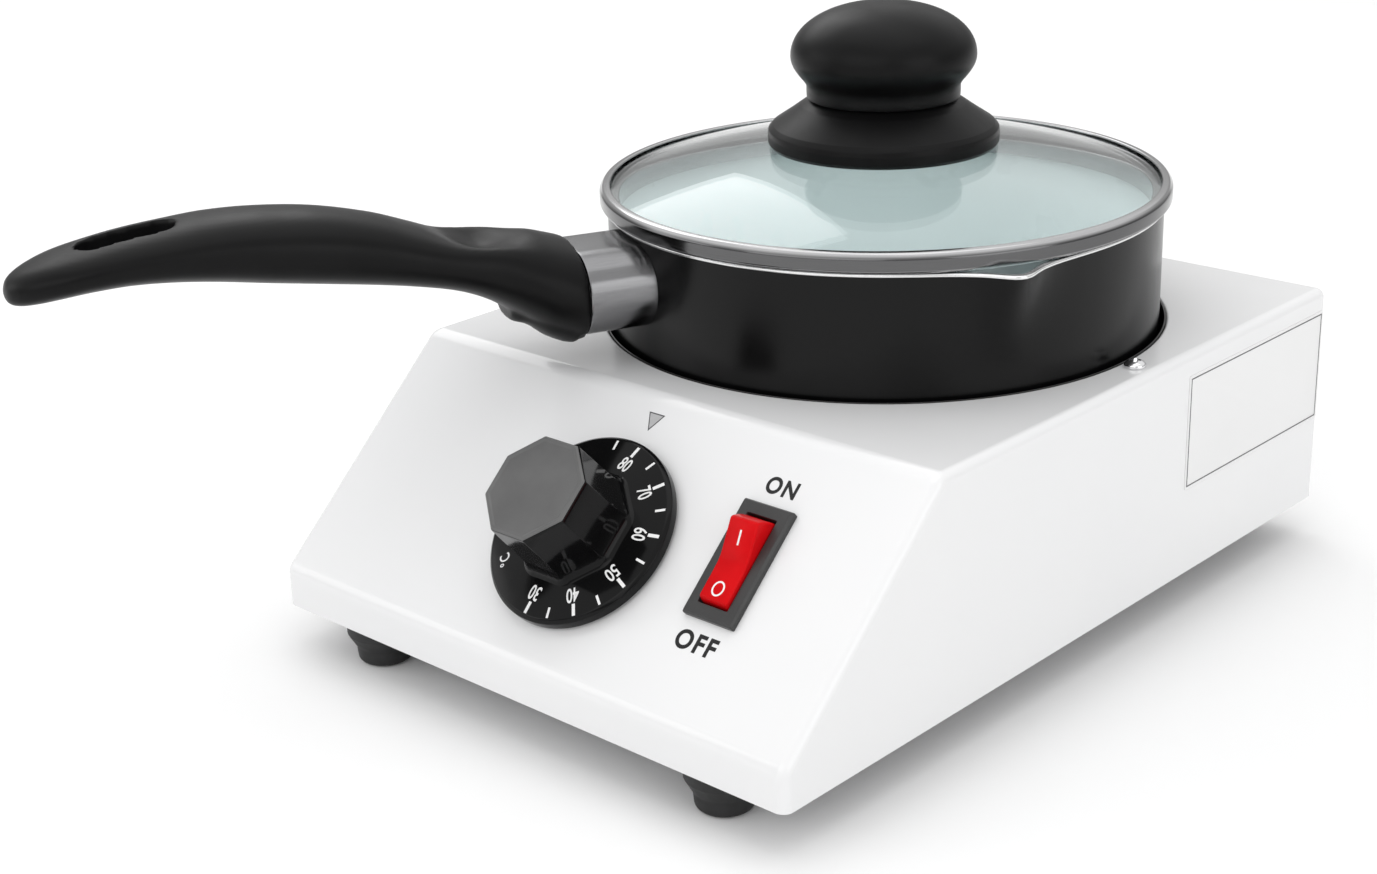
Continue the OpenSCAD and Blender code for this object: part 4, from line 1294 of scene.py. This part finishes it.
# the swelling under the grip that holds the screw's head: distance, half width, height of its underside
BOSS = [(91.5, 14.5, 77.9), (94, 14.5, 78.6), (96.5, 14.3, 79.8), (98.6, 13.7, 81.0), (100.2, 12.6, 82.3), (101.6, 11.3, 83.5), (103.5, 9.6, 84.5), (105.6, 7.9, 84.9), (106.7, 6.6, 85.8)]


def spw(v, e):
    return math.copysign(abs(v) ** e, v)


def make_grip():
    n = 96
    rings = []
    rhos = [89.2, 89.5, 90.0, 90.6, 91.3] + [92 + 1.2 * i for i in range(104)]
    rhos = [r for r in rhos if r < 216] + [217, 218.2, 219.4, 220.6, 221.7, 222.7, 223.6, 224.4, 225.0, 225.5, 225.9, 226.15]
    for rho in rhos:
        z, hw, ht = grip_at(rho)
        f = min(1.0, max(0.0, (rho - 98) / 14))
        e = 0.94 - 0.10 * f * f * (3 - 2 * f)
        ring = []
        for k in range(n):
            a = 2 * math.pi * k / n
            y, zz = hw * spw(cos(a), e), ht * spw(sin(a), e)
            if zz > 0:
                # thumb rest: a dent in the top behind the ferrule, with cheeks beside it
                g = math.exp(-((rho - 112.5) / 8.5) ** 2)
                dent = g * math.exp(-(y / 9.0) ** 2) * 3.4
                cheek = math.exp(-((rho - 112) / 10.0) ** 2) * math.exp(-((abs(y) - 12.5) / 3.6) ** 2) * 1.6
                zz = zz + (cheek - dent) * min(1.0, zz / (ht * 0.5))
            ring.append((rho, y, z + zz))
        rings.append(ring)
    bm = loft_bm(rings)
    o = from_bm("grip", bm, M_HAN, 40)
    # plug that fits inside the ferrule
    plug = loft_bm([[(r, x, HZ + 1.1 + z) for x, z in oval(30.2, 18.6, 8.6, 8.6)] for r in (83.5, 91.5)])
    boolean(o, cutter_of(plug, M_HAN), "UNION")
    # boss round the screw's head
    def boss_ring(r, w, bot):
        top = HZ + 4.0
        hh = (top - bot) / 2
        return [(r, w * spw(cos(2 * math.pi * k / 64), 0.8), bot + hh + hh * spw(sin(2 * math.pi * k / 64), 0.8)) for k in range(64)]
    boss = [boss_ring(*q) for q in BOSS]
    boolean(o, cutter_of(loft_bm(boss), M_HAN), "UNION")
    # hanging slot, straight through
    def stadium(r, x0, x1, m=18):
        pts = [(x1 + r * cos(math.pi * (-0.5 + k / m)), r * sin(math.pi * (-0.5 + k / m))) for k in range(m + 1)]
        pts += [(x0 + r * cos(math.pi * (0.5 + k / m)), r * sin(math.pi * (0.5 + k / m))) for k in range(m + 1)]
        return pts
    slot = [[(x, y, 90) for x, y in stadium(5.0, 190.5, 204)], [(x, y, 140) for x, y in stadium(5.0, 190.5, 204)]]
    boolean(o, cutter_of(loft_bm(slot), M_HAN))
    # screw passage; the boss closes over the head
    s = [[(r, 2.7 * cos(2 * math.pi * k / 32), HZ + 2.7 * sin(2 * math.pi * k / 32)) for k in range(32)] for r in (80, 105)]
    boolean(o, cutter_of(loft_bm(s), M_HAN))
    m = o.modifiers.new("r", "REMESH")
    m.mode, m.voxel_size = "VOXEL", 0.62 * MM
    applied(o)
    m = o.modifiers.new("s", "SMOOTH")
    m.factor, m.iterations = 0.5, 5
    applied(o)
    shade(o.data, 60)
    dress(o, "bakelite")
    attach(o, "pot")
    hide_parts("handle_grip")


make_grip()


# ------------------------------------------------------------------ lid
glo, ghi = [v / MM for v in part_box("lid_glass")]
G_TOP = RIM_Z + 15.5
G_R = 242.0
G_C = G_TOP - G_R
G_T = 3.2


def dome(R, r):
    return G_C + math.sqrt(R * R - r * r)


def make_lid():
    edge = 73.3
    rs = [3.2 + (edge - 3.2) * i / 40 for i in range(41)]
    top = [(r, dome(G_R, r)) for r in rs]
    bot = [(r, dome(G_R - G_T, r)) for r in reversed(rs)]
    # ground, rounded edge
    zt, zb = top[-1][1], bot[0][1]
    rim = [(edge + 0.35 * sin(math.pi * k / 6), zt + (zb - zt) * (1 - cos(math.pi * k / 6)) / 2) for k in range(1, 6)]
    o = from_bm("lid_pane", lathe("g", top + rim + bot, 192, finish=False), M_PAN, 60)
    dress(o, "glass")
    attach(o, "lid")
    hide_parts("lid_glass")

    rr = (rhi.x - rlo.x) / 2
    z0 = RIM_Z + 0.2
    zt = rhi.z
    prof = [(69.5, z0 - 4.4), (70.0, z0 - 4.4), (70.0, z0 - 0.2), (72.2, z0), (rr - 0.7, z0 + 0.02), (rr, z0 + 0.8), (rr, zt - 1.5), (rr - 0.9, zt - 0.2),
            (72.6, zt + 0.0), (72.35, zt - 0.55), (73.75, zt - 0.95), (73.75, z0 + 0.45), (69.5, z0 + 0.45)]
    radii = [0.2, 0.2, 0.3, 0.3, 0.6, 0.9, 1.2, 0.9, 0.35, 0.15, 0.1, 0.2, 0.3]
    ring = from_bm("lid_band", lathe("r", fillet(prof, radii, 5), 256, finish=False), M_PAN, 40)
    dress(ring, "ring")
    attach(ring, "lid")
    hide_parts("lid_ring")


make_lid()


def make_knob():
    pts = [(0, 129.6), (2.8, 129.6), (2.8, 118)]
    under = [(r, dome(G_R + 0.15, r)) for r in (2.8, 10, 20, 28.6)]
    prof = [(2.8, 129.9), (18.9, 129.9), (21.6, 128.4), (25.0, 126.0), (29.1, 123.3), (30.2, 122.1), (30.4, 120.8), (30.3, 118.6), (29.6, dome(G_R + 0.2, 29.6))]
    out = fillet(prof, [0, 0.25, 3, 8, 0.9, 0.7, 0.8, 0.6, 0.3], 6, closed=False)
    prof = out + [(r, z) for r, z in reversed(under)]
    o = from_bm("knob_foot", lathe("k", prof, 160, finish=False), M_PAN, 40)
    dress(o, "bakelite")
    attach(o, "lid")
    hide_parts("knob_base")
    kr = 24.2
    side = [(19.3, 130.05), (19.9, 130.25), (20.05, 130.7), (20.1, 132.0), (20.1, 133.6)]
    side += [(20.1 + (kr - 20.1) * sin(rad(90 * i / 8)), 134.0 + 7.0 * i / 8) for i in range(1, 8)]
    side += [(kr * cos(rad(90 * i / 20)) ** 0.94 if i < 20 else 0, 141 + 13.6 * sin(rad(90 * i / 20)) ** 0.96) for i in range(0, 21)]
    core = [(0, 144), (2.55, 144), (2.55, 130.05)]
    k = from_bm("knob_bulb", lathe("k", core + side, 160, finish=False, closed=False), M_PAN, 50)
    dress(k, "bakelite")
    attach(k, "lid")
    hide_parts("lid_knob")


make_knob()

# ------------------------------------------------------------------ floor and light
floor_me = bpy.data.meshes.new("floor")
bm = bmesh.new()
# a flat plane
cx, cy = 0.0, 0.0
L = 4.0
for sgn in (0,):
    vs = [bm.verts.new((x, y, -0.0003)) for x, y in ((-L, -L), (L, -L), (L, L), (-L, L))]
    bm.faces.new(vs)
bm.to_mesh(floor_me)
bm.free()
floor = new_object("floor", floor_me)
floor.data.materials.append(floor_mat())

world = bpy.data.worlds.new("studio")
world.use_nodes = True
scene.world = world
wn = world.node_tree
bg = next(n for n in wn.nodes if n.type == "BACKGROUND")
bg.inputs[0].default_value = (1.0, 1.0, 1.0, 1)
wtc = wn.nodes.new("ShaderNodeTexCoord")
wsx = wn.nodes.new("ShaderNodeSeparateXYZ")
wn.links.new(wtc.outputs["Generated"], wsx.inputs[0])
wr = wn.nodes.new("ShaderNodeValToRGB")
we = wr.color_ramp.elements
while len(we) < 6:
    we.new(0.5)
for k, (pos, v) in enumerate(((0.0, 0.95), (0.46, 0.95), (0.51, 0.42), (0.60, 0.42), (0.72, 0.95), (1.0, 1.05))):
    we[k].position, we[k].color = pos, (v, v, v, 1)
wmr = wn.nodes.new("ShaderNodeMapRange")
wmr.inputs["From Min"].default_value, wmr.inputs["From Max"].default_value = -1.0, 1.0
wn.links.new(wsx.outputs[2], wmr.inputs["Value"])
wn.links.new(wmr.outputs[0], wr.inputs[0])
wn.links.new(wr.outputs[0], bg.inputs[0])
bg.inputs[1].default_value = 0.97


def area(name, loc, target, size, power, size_y=None, color=(1, 1, 1)):
    l = bpy.data.lights.new(name, "AREA")
    l.energy, l.color = power, color
    l.shape = "RECTANGLE"
    l.size, l.size_y = size, size_y or size
    o = bpy.data.objects.new(name, l)
    coll.objects.link(o)
    o.location = loc
    o.rotation_mode = "QUATERNION"
    o.rotation_quaternion = (Vector(target) - Vector(loc)).to_track_quat("-Z", "Y")
    return o


area("top", (0.0, 0.1, 1.35), (0, 0.02, 0.05), 1.35, 2.9, 1.1)
area("front", (0.3, -1.45, 0.72), (0, -0.02, 0.06), 1.6, 4.6, 1.0)
area("side", (1.35, -0.1, 0.42), (0, 0, 0.07), 1.0, 3.0, 0.7)
area("left", (-1.1, 0.45, 1.0), (0, 0, 0.09), 1.0, 3.4, 0.7)
area("fill", (-1.1, -0.9, 0.45), (0, 0, 0.06), 0.9, 2.2, 0.6)

scene.view_settings.view_transform = "Standard"
scene.view_settings.look = "None"
scene.view_settings.exposure = 0.0
scene.view_settings.gamma = 1.0
